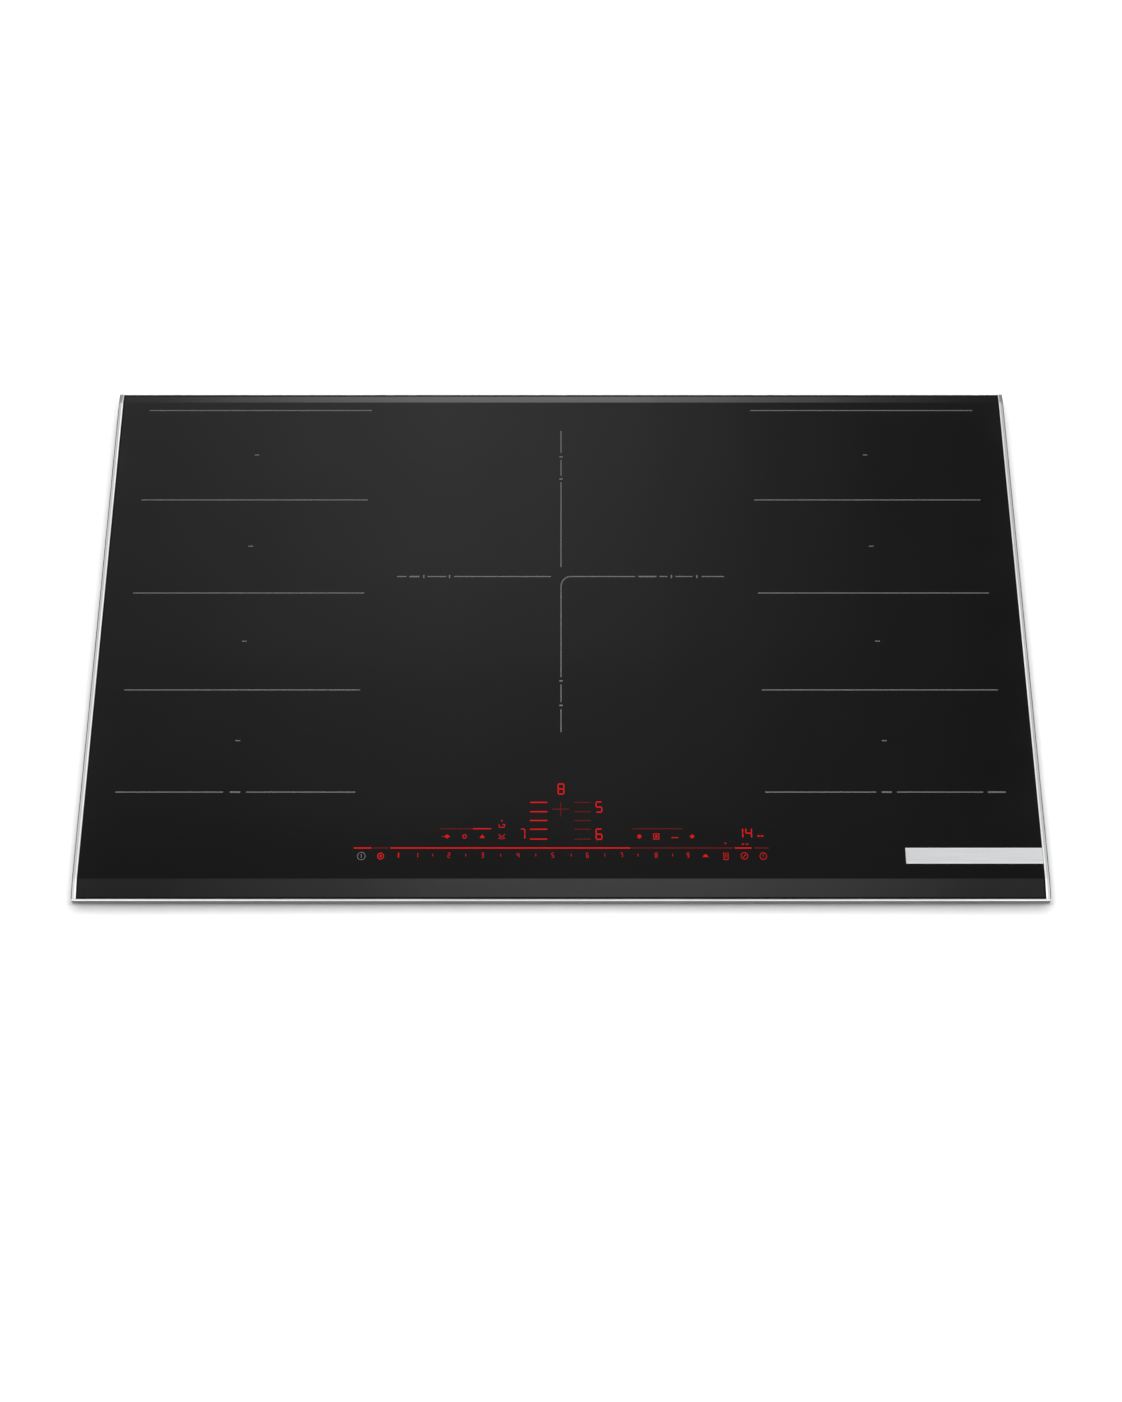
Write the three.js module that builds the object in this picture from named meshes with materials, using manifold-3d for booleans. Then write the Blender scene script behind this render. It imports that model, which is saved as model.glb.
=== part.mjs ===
// A built-in electric induction cooktop, 90 cm class, modelled as it comes apart on a bench: a bevelled
// glass-ceramic plate with metal side trims and a front trim, the carrier rails and foam seal under it, and
// a sheet-steel casing holding the coils, power electronics, fans, touch control and mains terminal box.
// Millimetres, +Z up, the user stands at -Y. The origin is the centre of the casing's underside.

import * as THREE from "three";
import { mergeVertices } from "three/addons/utils/BufferGeometryUtils.js";
import Module from "manifold-3d";

// ---- driving dimensions -------------------------------------------------------------------------------

const WIDTH = 916;
const DEPTH = 527;
const HEIGHT = 51;
const SEAT_Z = 44.5; // the plane that lies on the worktop

const GLASS_THICK = 4;
const GLASS_TOP = 50.5;
const GLASS_BOTTOM = GLASS_TOP - GLASS_THICK;
const FRONT_FACET = { run: 18.25, drop: 2 };
const REAR_FACET = { run: 10.25, drop: 2.25 };

const SIDE_TRIM_WIDTH = 5.25;
const FRONT_TRIM_WIDTH = 3.75;
const TRIM_BOTTOM = 45;
const TRIM_LIP_TOP = 45.9;
const JOINT_GAP = 0.75; // silicone joint between the side trims and the glass
const FIT = 0.25; // clearance left between neighbouring pieces

const CASING_WIDTH = 868;
const CASING_DEPTH = 480;
const CASING_HEIGHT = 43;
const SHEET = 1;

const ZONE_WIDTH = 230; // one flexible zone: four coils in a row, front to back
const ZONE_PITCH = 100.75;
const ZONE_CENTRE = { x: 310, y: 43 };
const ROUND_ZONE = { y: 60, radius: 160 };

const RAIL_LEG_BOTTOM = 35;
const COIL_PLATE_Z = 33;
const COIL_TRAY_Z = 34.25;
const WINDING_Z = 39;
const WINDING_THICK = 3.5;
const MAT_Z = 42.75;
const MAT_THICK = 3;

const BOARD_Z = 5;
const BOARD_THICK = 1.5;
const FAN = { x: 270, y: 150, radius: 52, duct: 72, bottom: 2.75, height: 25.5 };
const INTAKE_RADIUS = 42;

const CLIP = { y: 150, width: 36, hinge: 12 };
const TERMINAL = { x0: 328, x1: 418, y0: 200, z0: 2, z1: 32.5 };
const WINDOW = { x0: 334, x1: 390, z0: 3.5, z1: 29.5 };
const FLAP = { x0: 331, x1: 393, hingeY: 242, hingeZ: 6, top: 32 };
const GLAND = { x: 404, z: 17, bore: 5.5, hole: 8, flange: 9 };

// ---- derived positions --------------------------------------------------------------------------------

const RIGHT = WIDTH / 2;
const REAR = DEPTH / 2;
const FRONT = -DEPTH / 2;
const TRIM_INNER_X = RIGHT - SIDE_TRIM_WIDTH;
const GLASS_HALF_WIDTH = TRIM_INNER_X - JOINT_GAP;
const FRONT_TRIM_INNER_Y = FRONT + FRONT_TRIM_WIDTH;
const GLASS_FRONT = FRONT_TRIM_INNER_Y + 0.5;
const CASING_X = CASING_WIDTH / 2;
const CASING_Y = CASING_DEPTH / 2;
const ZONE_ROWS = [-1.5, -0.5, 0.5, 1.5].map((step) => ZONE_CENTRE.y + step * ZONE_PITCH);

// ---- materials ----------------------------------------------------------------------------------------

const finish = (color, roughness, metalness) =>
  new THREE.MeshStandardMaterial({ color, roughness, metalness });

const MATERIALS = {
  glassCeramic: finish(0x141414, 0.12, 0),
  trimMetal: finish(0xc9cacc, 0.28, 1),
  badgeMetal: finish(0xd2d3d6, 0.35, 1),
  galvanised: finish(0x9ea3a6, 0.45, 1),
  springSteel: finish(0xa8abad, 0.3, 1),
  aluminium: finish(0xb9bcbe, 0.4, 1),
  foamSeal: finish(0x1d1d1e, 0.95, 0),
  blackPlastic: finish(0x1a1b1c, 0.6, 0),
  greyPlastic: finish(0x6f7376, 0.6, 0),
  circuitBoard: finish(0x1f5a3a, 0.5, 0),
  copperLitz: finish(0xa5562c, 0.4, 1),
  ceramicFibre: finish(0xe4e0d6, 0.95, 0),
  ferrite: finish(0x2d2e30, 0.7, 0),
  insulator: finish(0xb8ae93, 0.8, 0),
};

// ---- shape helpers ------------------------------------------------------------------------------------

const wasm = await Module();
wasm.setup();

// A closed geometry as a manifold-3d solid, for cutting and joining.
function solid(geometry) {
  const bare = new THREE.BufferGeometry();
  bare.setAttribute("position", geometry.getAttribute("position"));
  if (geometry.index) bare.setIndex(geometry.index);
  const merged = mergeVertices(bare, 1e-4);
  return new wasm.Manifold(
    new wasm.Mesh({
      numProp: 3,
      vertProperties: merged.attributes.position.array,
      triVerts: new Uint32Array(merged.index.array),
    }),
  );
}

function geometryOf(manifold) {
  const mesh = manifold.getMesh();
  const geometry = new THREE.BufferGeometry();
  geometry.setAttribute("position", new THREE.BufferAttribute(mesh.vertProperties, 3));
  geometry.setIndex(new THREE.BufferAttribute(mesh.triVerts, 1));
  geometry.computeVertexNormals();
  return geometry;
}

const join = (...pieces) => geometryOf(pieces.map(solid).reduce((a, b) => a.add(b)));
const cut = (piece, ...tools) => geometryOf(tools.map(solid).reduce((a, b) => a.subtract(b), solid(piece)));
const common = (a, b) => geometryOf(solid(a).intersect(solid(b)));

function block(x0, x1, y0, y1, z0, z1) {
  const geometry = new THREE.BoxGeometry(x1 - x0, y1 - y0, z1 - z0);
  return geometry.translate((x0 + x1) / 2, (y0 + y1) / 2, (z0 + z1) / 2);
}

// A cylinder standing on z0.
function post(x, y, radius, z0, z1, sides = 24) {
  const geometry = new THREE.CylinderGeometry(radius, radius, z1 - z0, sides);
  return geometry.rotateX(Math.PI / 2).translate(x, y, (z0 + z1) / 2);
}

// A cylinder lying along Y, from y0 to y1.
function rodAlongY(x, z, radius, y0, y1, sides = 24) {
  const geometry = new THREE.CylinderGeometry(radius, radius, y1 - y0, sides);
  return geometry.translate(x, (y0 + y1) / 2, z);
}

// A cylinder lying along X, from x0 to x1.
function rodAlongX(y, z, radius, x0, x1, sides = 12) {
  const geometry = new THREE.CylinderGeometry(radius, radius, x1 - x0, sides);
  return geometry.rotateZ(Math.PI / 2).translate((x0 + x1) / 2, y, z);
}

function rise(shape, z0, z1, curveSegments = 6) {
  const geometry = new THREE.ExtrudeGeometry(shape, { depth: z1 - z0, bevelEnabled: false, curveSegments });
  return geometry.translate(0, 0, z0);
}

// An outline given as (y, z) points or a Shape, extruded along X from x0 to x1.
function runAlongX(outline, x0, x1, curveSegments = 4) {
  const shape = outline instanceof THREE.Shape ? outline : shapeOf(outline);
  const geometry = new THREE.ExtrudeGeometry(shape, { depth: x1 - x0, bevelEnabled: false, curveSegments });
  return geometry.rotateX(Math.PI / 2).rotateZ(Math.PI / 2).translate(x0, 0, 0);
}

// An outline given as (x, z) points or a Shape, extruded along Y from y0 to y1.
function runAlongY(outline, y0, y1, curveSegments = 4) {
  const shape = outline instanceof THREE.Shape ? outline : shapeOf(outline);
  const geometry = new THREE.ExtrudeGeometry(shape, { depth: y1 - y0, bevelEnabled: false, curveSegments });
  return geometry.rotateX(Math.PI / 2).translate(0, y1, 0);
}

const shapeOf = (points) => new THREE.Shape(points.map(([u, v]) => new THREE.Vector2(u, v)));

function roundedRectangle(width, height, radius) {
  const u = width / 2;
  const v = height / 2;
  const shape = new THREE.Shape();
  shape.moveTo(-u + radius, -v);
  shape.lineTo(u - radius, -v);
  shape.absarc(u - radius, -v + radius, radius, -Math.PI / 2, 0);
  shape.lineTo(u, v - radius);
  shape.absarc(u - radius, v - radius, radius, 0, Math.PI / 2);
  shape.lineTo(-u + radius, v);
  shape.absarc(-u + radius, v - radius, radius, Math.PI / 2, Math.PI);
  shape.lineTo(-u, -v + radius);
  shape.absarc(-u + radius, -v + radius, radius, Math.PI, 1.5 * Math.PI);
  return shape;
}

// A ring of rectangular section around Z, as a lathe profile that closes on itself.
function ring(inner, outer, z0, z1, sides = 40) {
  const corners = [
    [inner, z0],
    [outer, z0],
    [outer, z1],
    [inner, z1],
    [inner, z0],
  ];
  const profile = corners.map(([r, z]) => new THREE.Vector2(r, z));
  return new THREE.LatheGeometry(profile, sides).rotateX(Math.PI / 2);
}

// The outline of a bent strip of the given thickness, from its centreline.
function strip(points, thickness) {
  const path = points.map(([u, v]) => new THREE.Vector2(u, v));
  const offset = (side) =>
    path.map((point, i) => {
      const before = path[Math.max(i - 1, 0)];
      const after = path[Math.min(i + 1, path.length - 1)];
      const along = after.clone().sub(before).normalize();
      return [point.x - (side * along.y * thickness) / 2, point.y + (side * along.x * thickness) / 2];
    });
  return [...offset(-1), ...offset(1).reverse()];
}

const assembly = new THREE.Group();

function add(name, geometry, material, parent = assembly, x = 0, y = 0, z = 0) {
  const mesh = new THREE.Mesh(geometry, material);
  mesh.name = name;
  mesh.position.set(x, y, z);
  parent.add(mesh);
  return mesh;
}

function group(x = 0, y = 0, z = 0) {
  const made = new THREE.Group();
  made.position.set(x, y, z);
  assembly.add(made);
  return made;
}

// ---- glass plate, trims and badge -----------------------------------------------------------------------

function glassPlate() {
  const outline = [
    [GLASS_FRONT, GLASS_BOTTOM],
    [REAR, GLASS_BOTTOM],
    [REAR, GLASS_TOP - REAR_FACET.drop],
    [REAR - REAR_FACET.run, GLASS_TOP],
    [GLASS_FRONT + FRONT_FACET.run, GLASS_TOP],
    [GLASS_FRONT, GLASS_TOP - FRONT_FACET.drop],
  ];
  add("glass_plate", runAlongX(outline, -GLASS_HALF_WIDTH, GLASS_HALF_WIDTH), MATERIALS.glassCeramic);
}

// The side trim's section: a raised inner bead, a shallow fall and a rounded outer edge over a foot that
// reaches under the glass. side is 1 for the right trim and -1 for the left.
function sideTrimSection(side) {
  const edgeRadius = 1.4;
  const shoulderX = RIGHT - edgeRadius;
  const shoulderZ = HEIGHT - 0.35;
  const section = new THREE.Shape();
  section.moveTo(TRIM_INNER_X - 1.75, TRIM_BOTTOM);
  section.lineTo(RIGHT, TRIM_BOTTOM);
  section.lineTo(RIGHT, shoulderZ - edgeRadius);
  section.absarc(shoulderX, shoulderZ - edgeRadius, edgeRadius, 0, Math.PI / 2);
  section.lineTo(TRIM_INNER_X + 2.25, HEIGHT);
  section.lineTo(TRIM_INNER_X, HEIGHT);
  section.lineTo(TRIM_INNER_X, TRIM_LIP_TOP);
  section.lineTo(TRIM_INNER_X - 1.75, TRIM_LIP_TOP);
  const points = section.getPoints(4).map((p) => [side * p.x, p.y]);
  return side > 0 ? points : points.reverse();
}

// What is taken off the top of a trim so that its ends fall away with the glass facets.
function facetWedge(y0, y1, drop) {
  const above = HEIGHT + 2;
  const outline = [
    [y0, HEIGHT],
    [y1, HEIGHT - drop],
    [y1, above],
    [y0, above],
  ];
  return runAlongX(y1 > y0 ? outline : outline.reverse(), -RIGHT - 1, RIGHT + 1);
}

function sideTrims() {
  const frontStart = GLASS_FRONT + FRONT_FACET.run;
  const rearStart = REAR - REAR_FACET.run;
  const overrun = 1.5;
  for (const [name, side] of [
    ["side_trim_left", -1],
    ["side_trim_right", 1],
  ]) {
    const bar = runAlongY(sideTrimSection(side), FRONT_TRIM_INNER_Y + FIT, REAR);
    const trimmed = cut(
      bar,
      facetWedge(frontStart, GLASS_FRONT - overrun, FRONT_FACET.drop + 0.2),
      facetWedge(rearStart, REAR + overrun, REAR_FACET.drop + 1),
    );
    add(name, trimmed, MATERIALS.trimMetal);
  }
}

function frontTrim() {
  const top = GLASS_TOP - FRONT_FACET.drop + 0.4;
  const radius = 1.8;
  const section = new THREE.Shape();
  section.moveTo(FRONT, TRIM_BOTTOM);
  section.lineTo(FRONT_TRIM_INNER_Y + 1.75, TRIM_BOTTOM);
  section.lineTo(FRONT_TRIM_INNER_Y + 1.75, TRIM_LIP_TOP);
  section.lineTo(FRONT_TRIM_INNER_Y, TRIM_LIP_TOP);
  section.lineTo(FRONT_TRIM_INNER_Y, top);
  section.lineTo(FRONT + radius, top);
  section.absarc(FRONT + radius, top - radius, radius, Math.PI / 2, Math.PI);
  const bar = runAlongX(section, -RIGHT, RIGHT, 5);
  const plan = rise(roundedRectangle(WIDTH, DEPTH, 3), 0, HEIGHT);
  const footClearance = TRIM_INNER_X - 2.5; // the side trims' feet pass behind the ends
  const ends = [-1, 1].map((side) => {
    const near = side * footClearance;
    const far = side * (RIGHT + 1);
    return block(Math.min(near, far), Math.max(near, far), FRONT_TRIM_INNER_Y, -250, 40, HEIGHT);
  });
  add("front_trim", cut(common(bar, plan), ...ends), MATERIALS.trimMetal);
}

function badge() {
  const plate = { left: 324, front: -228, rear: -212.25, thick: 0.4 };
  const bottom = GLASS_TOP + 0.05;
  add(
    "badge_plate",
    block(plate.left, GLASS_HALF_WIDTH, plate.front, plate.rear, bottom, bottom + plate.thick),
    MATERIALS.badgeMetal,
  );
}

// ---- what lies between the glass and the casing ---------------------------------------------------------

// Angle rails: the leg stands inside the casing wall and the flange carries the bonded glass.
function carrierRails() {
  const flange = [45, 46];
  const legIn = 1.2;
  const legOut = 0.2;
  const reach = 4.5;
  const angle = (wall, side) => {
    const face = wall - SHEET;
    const points = [
      [face - legIn, RAIL_LEG_BOTTOM],
      [face - legOut, RAIL_LEG_BOTTOM],
      [face - legOut, flange[0]],
      [wall + reach, flange[0]],
      [wall + reach, flange[1]],
      [face - legIn, flange[1]],
    ];
    const placed = points.map(([u, v]) => [side * u, v]);
    return side > 0 ? placed : placed.reverse();
  };
  const longHalf = CASING_X - 4.25;
  const shortHalf = CASING_Y - 4.25;
  add("carrier_rail_front", runAlongX(angle(CASING_Y, -1), -longHalf, longHalf), MATERIALS.galvanised);
  add("carrier_rail_rear", runAlongX(angle(CASING_Y, 1), -longHalf, longHalf), MATERIALS.galvanised);
  add("carrier_rail_left", runAlongY(angle(CASING_X, -1), -shortHalf, shortHalf), MATERIALS.galvanised);
  add("carrier_rail_right", runAlongY(angle(CASING_X, 1), -shortHalf, shortHalf), MATERIALS.galvanised);
}

// Foam tape stuck under the rim of the glass, in four lengths.
function seals() {
  const width = 6;
  const outerX = 451 - FIT;
  const outerY = 257.5;
  const top = GLASS_BOTTOM - 0.1;
  const shortHalf = outerY - width - FIT;
  const tape = (x0, x1, y0, y1) => block(x0, x1, y0, y1, SEAT_Z, top);
  add("seal_front", tape(-outerX, outerX, -outerY, -outerY + width), MATERIALS.foamSeal);
  add("seal_rear", tape(-outerX, outerX, outerY - width, outerY), MATERIALS.foamSeal);
  add("seal_left", tape(-outerX, -outerX + width, -shortHalf, shortHalf), MATERIALS.foamSeal);
  add("seal_right", tape(outerX - width, outerX, -shortHalf, shortHalf), MATERIALS.foamSeal);
}

// ---- casing ---------------------------------------------------------------------------------------------

function exhaustSlots() {
  const slot = { width: 3.5, z0: 10, z1: 32, pitch: 13, count: 12, start: 172 };
  const made = [];
  for (const side of [-1, 1]) {
    for (let i = 0; i < slot.count; i += 1) {
      const x = side * (slot.start + i * slot.pitch);
      const [x0, x1] = [x - slot.width / 2, x + slot.width / 2];
      made.push(block(x0, x1, -CASING_Y - 1, -CASING_Y + 2, slot.z0, slot.z1));
    }
  }
  return made;
}

function casingTray() {
  const corner = 4;
  const outside = rise(roundedRectangle(CASING_WIDTH, CASING_DEPTH, corner), 0, CASING_HEIGHT, 2);
  const inside = rise(
    roundedRectangle(CASING_WIDTH - 2 * SHEET, CASING_DEPTH - 2 * SHEET, corner - SHEET),
    SHEET,
    CASING_HEIGHT + 1,
    2,
  );
  const intakes = [-1, 1].map((side) => post(side * FAN.x, FAN.y, INTAKE_RADIUS, -1, 2, 32));
  const window = block(WINDOW.x0, WINDOW.x1, CASING_Y - 3, CASING_Y + 1, WINDOW.z0, WINDOW.z1);
  const glandHole = rodAlongY(GLAND.x, GLAND.z, GLAND.hole, CASING_Y - 3, CASING_Y + 1);
  add(
    "casing_tray",
    cut(outside, inside, ...intakes, window, glandHole, ...exhaustSlots()),
    MATERIALS.galvanised,
  );
}

// A round guard of parallel slots over each fan's intake, lying on the casing floor.
function fanGrilles() {
  const radius = INTAKE_RADIUS + 5;
  const slotWidth = 3.75;
  const pitch = 7.5;
  const spine = 1.5;
  const bottom = SHEET + 0.1;
  const disc = post(0, 0, radius, bottom, bottom + 1.2, 32);
  const slots = [];
  for (let i = -5; i <= 5; i += 1) {
    const y = i * pitch;
    const half = Math.floor(Math.sqrt((INTAKE_RADIUS - 1) ** 2 - y * y));
    for (const [x0, x1] of [
      [-half, -spine],
      [spine, half],
    ]) {
      slots.push(block(x0, x1, y - slotWidth / 2, y + slotWidth / 2, 0, 4));
    }
  }
  const guard = cut(disc, ...slots);
  add("fan_grille_left", guard, MATERIALS.blackPlastic, assembly, -FAN.x, FAN.y);
  add("fan_grille_right", guard.clone(), MATERIALS.blackPlastic, assembly, FAN.x, FAN.y);
}

// ---- fans -----------------------------------------------------------------------------------------------

// A blower's volute: a round chamber with a straight duct along one side. side mirrors it.
function voluteOutline(radius, ductInset, ductEnd, side) {
  const shape = new THREE.Shape();
  shape.moveTo(side * radius, -ductEnd);
  shape.lineTo(side * radius, 0);
  shape.absarc(0, 0, radius, side > 0 ? 0 : Math.PI, side > 0 ? 1.5 * Math.PI : -0.5 * Math.PI, side < 0);
  shape.lineTo(side * ductInset, -radius);
  shape.lineTo(side * ductInset, -ductEnd);
  return shape;
}

function fanHousing(side) {
  const wall = 1.5;
  const top = FAN.bottom + FAN.height;
  const shell = rise(voluteOutline(FAN.radius, 0.5, FAN.duct, side), FAN.bottom, top, 9);
  const chamber = rise(
    voluteOutline(FAN.radius - wall, 0.5 + wall, FAN.duct + 1, side),
    FAN.bottom + wall,
    top - wall,
    9,
  );
  const inlet = post(0, 0, 32, 0, FAN.bottom + 3, 32);
  return cut(shell, chamber, inlet);
}

// The impeller turns about Z: a cup over the motor, a back plate, a ring of blades and a front ring.
function impeller() {
  const blades = 20;
  const parts = [
    ring(15.2, 39, 22.5, 24, 32),
    ring(36.5, 39, 6, 7.5, 32),
    ring(15.2, 17, 8.5, 23, 24),
    post(0, 0, 17, 8, 9.5, 24),
    post(0, 0, 1.5, 9, 21, 10),
  ];
  for (let i = 0; i < blades; i += 1) {
    const blade = block(-0.6, 0.6, 29, 38, 7, 23);
    blade.translate(0, -33.5, 0).rotateZ(-0.5).translate(0, 33.5, 0);
    parts.push(blade.rotateZ((i * 2 * Math.PI) / blades));
  }
  return join(...parts);
}

function fans() {
  const stator = cut(post(0, 0, 13.5, 11, 26.5, 28), post(0, 0, 1.9, 10, 27, 16));
  const blower = impeller();
  for (const [hand, side] of [
    ["left", -1],
    ["right", 1],
  ]) {
    const place = group(side * FAN.x, FAN.y, 0);
    add(`fan_housing_${hand}`, fanHousing(side), MATERIALS.blackPlastic, place);
    add(`fan_stator_${hand}`, stator.clone(), MATERIALS.ferrite, place);
    add(`fan_impeller_${hand}`, blower.clone(), MATERIALS.greyPlastic, place);
  }
}

// ---- power electronics ----------------------------------------------------------------------------------

// One inverter board for each side. x grows outwards from the middle of the cooktop on both.
function powerBoard(side) {
  const top = BOARD_Z + BOARD_THICK;
  const across = (a, b, y0, y1, z0, z1) =>
    block(Math.min(side * a, side * b), Math.max(side * a, side * b), y0, y1, z0, z1);
  const inBoard = top - 0.5; // parts reach into the board so that it stays one solid
  const capacitors = [-150, -115, -80].map((y) => post(side * 190, y, 14, inBoard, top + 22, 20));
  const filmCapacitors = [-30, 0, 30].map((y) => across(172, 208, y, y + 18, inBoard, top + 20));
  const chokes = [-140, -60, 20].map((y) => across(345, 385, y - 18, y + 18, inBoard, top + 18));
  return join(
    across(150, 402, -180, 70, BOARD_Z, top),
    across(235, 250, -100, -60, inBoard, top + 12),
    across(235, 250, -20, 10, inBoard, top + 10),
    ...capacitors,
    ...filmCapacitors,
    ...chokes,
  );
}

function heatsink() {
  const width = 50;
  const fins = 10;
  const base = 4;
  const height = 22;
  const finThick = 1.8;
  const pitch = (width - finThick) / (fins - 1);
  const outline = [
    [-width / 2, 0],
    [width / 2, 0],
  ];
  for (let i = fins - 1; i >= 0; i -= 1) {
    const left = -width / 2 + i * pitch;
    outline.push([left + finThick, height], [left, height]);
    if (i > 0) outline.push([left, base], [left - pitch + finThick, base]);
  }
  return runAlongY(outline, -150, 68);
}

function electronics() {
  const sinkX = FAN.x + FAN.radius / 2;
  const sinkZ = BOARD_Z + BOARD_THICK + FIT;
  const sink = heatsink();
  for (const [hand, side] of [
    ["left", -1],
    ["right", 1],
  ]) {
    add(`power_board_${hand}`, powerBoard(side), MATERIALS.circuitBoard);
    add(`heatsink_${hand}`, sink.clone(), MATERIALS.aluminium, assembly, side * sinkX, 0, sinkZ);
  }
  add("insulation_sheet", block(-412, 412, -190, 74, 1.25, 2.25), MATERIALS.insulator);
  filterBoard();
}

function filterBoard() {
  const top = BOARD_Z + BOARD_THICK;
  const inBoard = top - 0.5;
  const relays = [-70, -40, 40, 70].map((x) => block(x - 10, x + 10, 190, 218, inBoard, top + 16));
  const suppressors = [-80, 80].map((x) => block(x - 12, x + 12, 112, 152, inBoard, top + 20));
  const board = join(block(-110, 110, 95, 228, BOARD_Z, top), ...relays, ...suppressors);
  add("filter_board", board, MATERIALS.circuitBoard);
  const choke = ring(11, 24, 0, 17, 32);
  add("filter_choke", choke, MATERIALS.copperLitz, assembly, 0, 150, top + FIT);
}

// ---- coils ----------------------------------------------------------------------------------------------

function flexWinding() {
  const outer = roundedRectangle(220, 84, 38);
  outer.holes.push(roundedRectangle(152, 20, 9.5));
  return rise(outer, 0, WINDING_THICK, 3);
}

// A shallow plastic tray with ribs, where the ferrite bars lie under the windings.
function flexTray() {
  const half = { x: ZONE_WIDTH / 2 - 3, y: 2 * ZONE_PITCH - 8 };
  const floor = 1.5;
  const depth = 4.25;
  const body = cut(
    block(-half.x, half.x, -half.y, half.y, 0, depth),
    block(-half.x + 2, half.x - 2, -half.y + 2, half.y - 2, floor, depth + 1),
  );
  const ribs = [-1, 0, 1].map((i) =>
    block(-half.x + 1, half.x - 1, i * ZONE_PITCH - 1, i * ZONE_PITCH + 1, floor - 0.5, depth),
  );
  const leads = [-1.5, -0.5, 0.5, 1.5].map((i) => post(0, i * ZONE_PITCH, 6, -1, floor + 1, 12));
  return cut(join(body, ...ribs), ...leads);
}

function flexMat() {
  const half = { x: ZONE_WIDTH / 2 - 3, y: 2 * ZONE_PITCH - 8 };
  const sensorHoles = [-1.5, -0.5, 0.5, 1.5].map((i) => post(0, i * ZONE_PITCH, 6, -1, MAT_THICK + 1, 12));
  return cut(block(-half.x, half.x, -half.y, half.y, 0, MAT_THICK), ...sensorHoles);
}

function coils() {
  const winding = flexWinding();
  const tray = flexTray();
  const mat = flexMat();
  for (const [hand, side] of [
    ["left", -1],
    ["right", 1],
  ]) {
    const zone = group(side * ZONE_CENTRE.x, ZONE_CENTRE.y, 0);
    add(`coil_tray_${hand}`, tray.clone(), MATERIALS.blackPlastic, zone, 0, 0, COIL_TRAY_Z);
    add(`heat_mat_${hand}`, mat.clone(), MATERIALS.ceramicFibre, zone, 0, 0, MAT_Z);
    ZONE_ROWS.forEach((y, i) => {
      const name = `flex_coil_${hand}_${i + 1}`;
      add(name, winding.clone(), MATERIALS.copperLitz, zone, 0, y - ZONE_CENTRE.y, WINDING_Z);
    });
  }
  roundCoil();
  coilPlate();
}

function roundCoil() {
  const zone = group(0, ROUND_ZONE.y, 0);
  const trayRadius = ROUND_ZONE.radius - 1;
  const profile = [
    [6, 0],
    [trayRadius, 0],
    [trayRadius, 4.25],
    [trayRadius - 2, 4.25],
    [trayRadius - 2, 1.5],
    [16, 1.5],
    [16, 4.25],
    [6, 4.25],
    [6, 0],
  ].map(([r, z]) => new THREE.Vector2(r, z));
  const tray = new THREE.LatheGeometry(profile, 40).rotateX(Math.PI / 2);
  add("coil_tray_centre", tray, MATERIALS.blackPlastic, zone, 0, 0, COIL_TRAY_Z);
  add("heat_mat_centre", ring(6, trayRadius, 0, MAT_THICK, 40), MATERIALS.ceramicFibre, zone, 0, 0, MAT_Z);
  const bands = { inner: [22, 103], middle: [109, 129], outer: [135, 156] };
  for (const [name, [from, to]] of Object.entries(bands)) {
    const winding = ring(from, to, 0, WINDING_THICK, 40);
    add(`centre_coil_${name}`, winding, MATERIALS.copperLitz, zone, 0, 0, WINDING_Z);
  }
}

// The aluminium sheet that carries every coil and shields the electronics below.
function coilPlate() {
  const sheet = block(-428, 428, -161, 236, COIL_PLATE_Z, COIL_PLATE_Z + SHEET);
  const leadHoles = [post(0, ROUND_ZONE.y, 10, 30, 36, 16)];
  for (const side of [-1, 1]) {
    for (const y of ZONE_ROWS) leadHoles.push(post(side * ZONE_CENTRE.x, y, 8, 30, 36, 12));
  }
  add("coil_plate", cut(sheet, ...leadHoles), MATERIALS.aluminium);
}

// ---- touch control --------------------------------------------------------------------------------------

function touchControl() {
  const wide = { x: 206, y0: -236, y1: -166 };
  const bump = { x: 62, y1: -142 };
  const plan = (inset, z0, z1) =>
    join(
      block(-wide.x + inset, wide.x - inset, wide.y0 + inset, wide.y1 - inset, z0, z1),
      block(-bump.x + inset, bump.x - inset, wide.y1 - 10, bump.y1 - inset, z0, z1),
    );
  const boardZ = 37.5;
  add("touch_board", plan(1, boardZ, boardZ + BOARD_THICK), MATERIALS.circuitBoard);
  const frame = { z0: boardZ + BOARD_THICK + FIT, z1: GLASS_BOTTOM - 0.4 };
  const windows = [-165, -82.5, 0, 82.5, 165].map((x) =>
    block(x - 36, x + 36, -226, -176, frame.z0 - 1, frame.z1 + 1),
  );
  const topWindow = block(-50, 50, -171, -148, frame.z0 - 1, frame.z1 + 1);
  add("display_frame", cut(plan(0, frame.z0, frame.z1), ...windows, topWindow), MATERIALS.blackPlastic);
}

// ---- mains terminal box ---------------------------------------------------------------------------------

const EARS = [339.5, 384.5];
const EAR_HALF = 1.5;

function terminalBox() {
  const rear = CASING_Y - SHEET - FIT;
  const wall = 2;
  const { x0, x1, y0, z0, z1 } = TERMINAL;
  const box = cut(
    block(x0, x1, y0, rear, z0, z1),
    block(x0 + wall, x1 - wall, y0 + wall, rear + 1, z0 + wall, z1 - wall),
  );
  const ears = EARS.map((x) => block(x - EAR_HALF, x + EAR_HALF, rear - 3, FLAP.hingeY + 2, z0 + 1.8, 8.2));
  const pinHole = rodAlongX(FLAP.hingeY, FLAP.hingeZ, 1.35, EARS[0] - 3, EARS[1] + 3, 16);
  add("terminal_box", cut(join(box, ...ears), pinHole), MATERIALS.blackPlastic);
}

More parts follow.
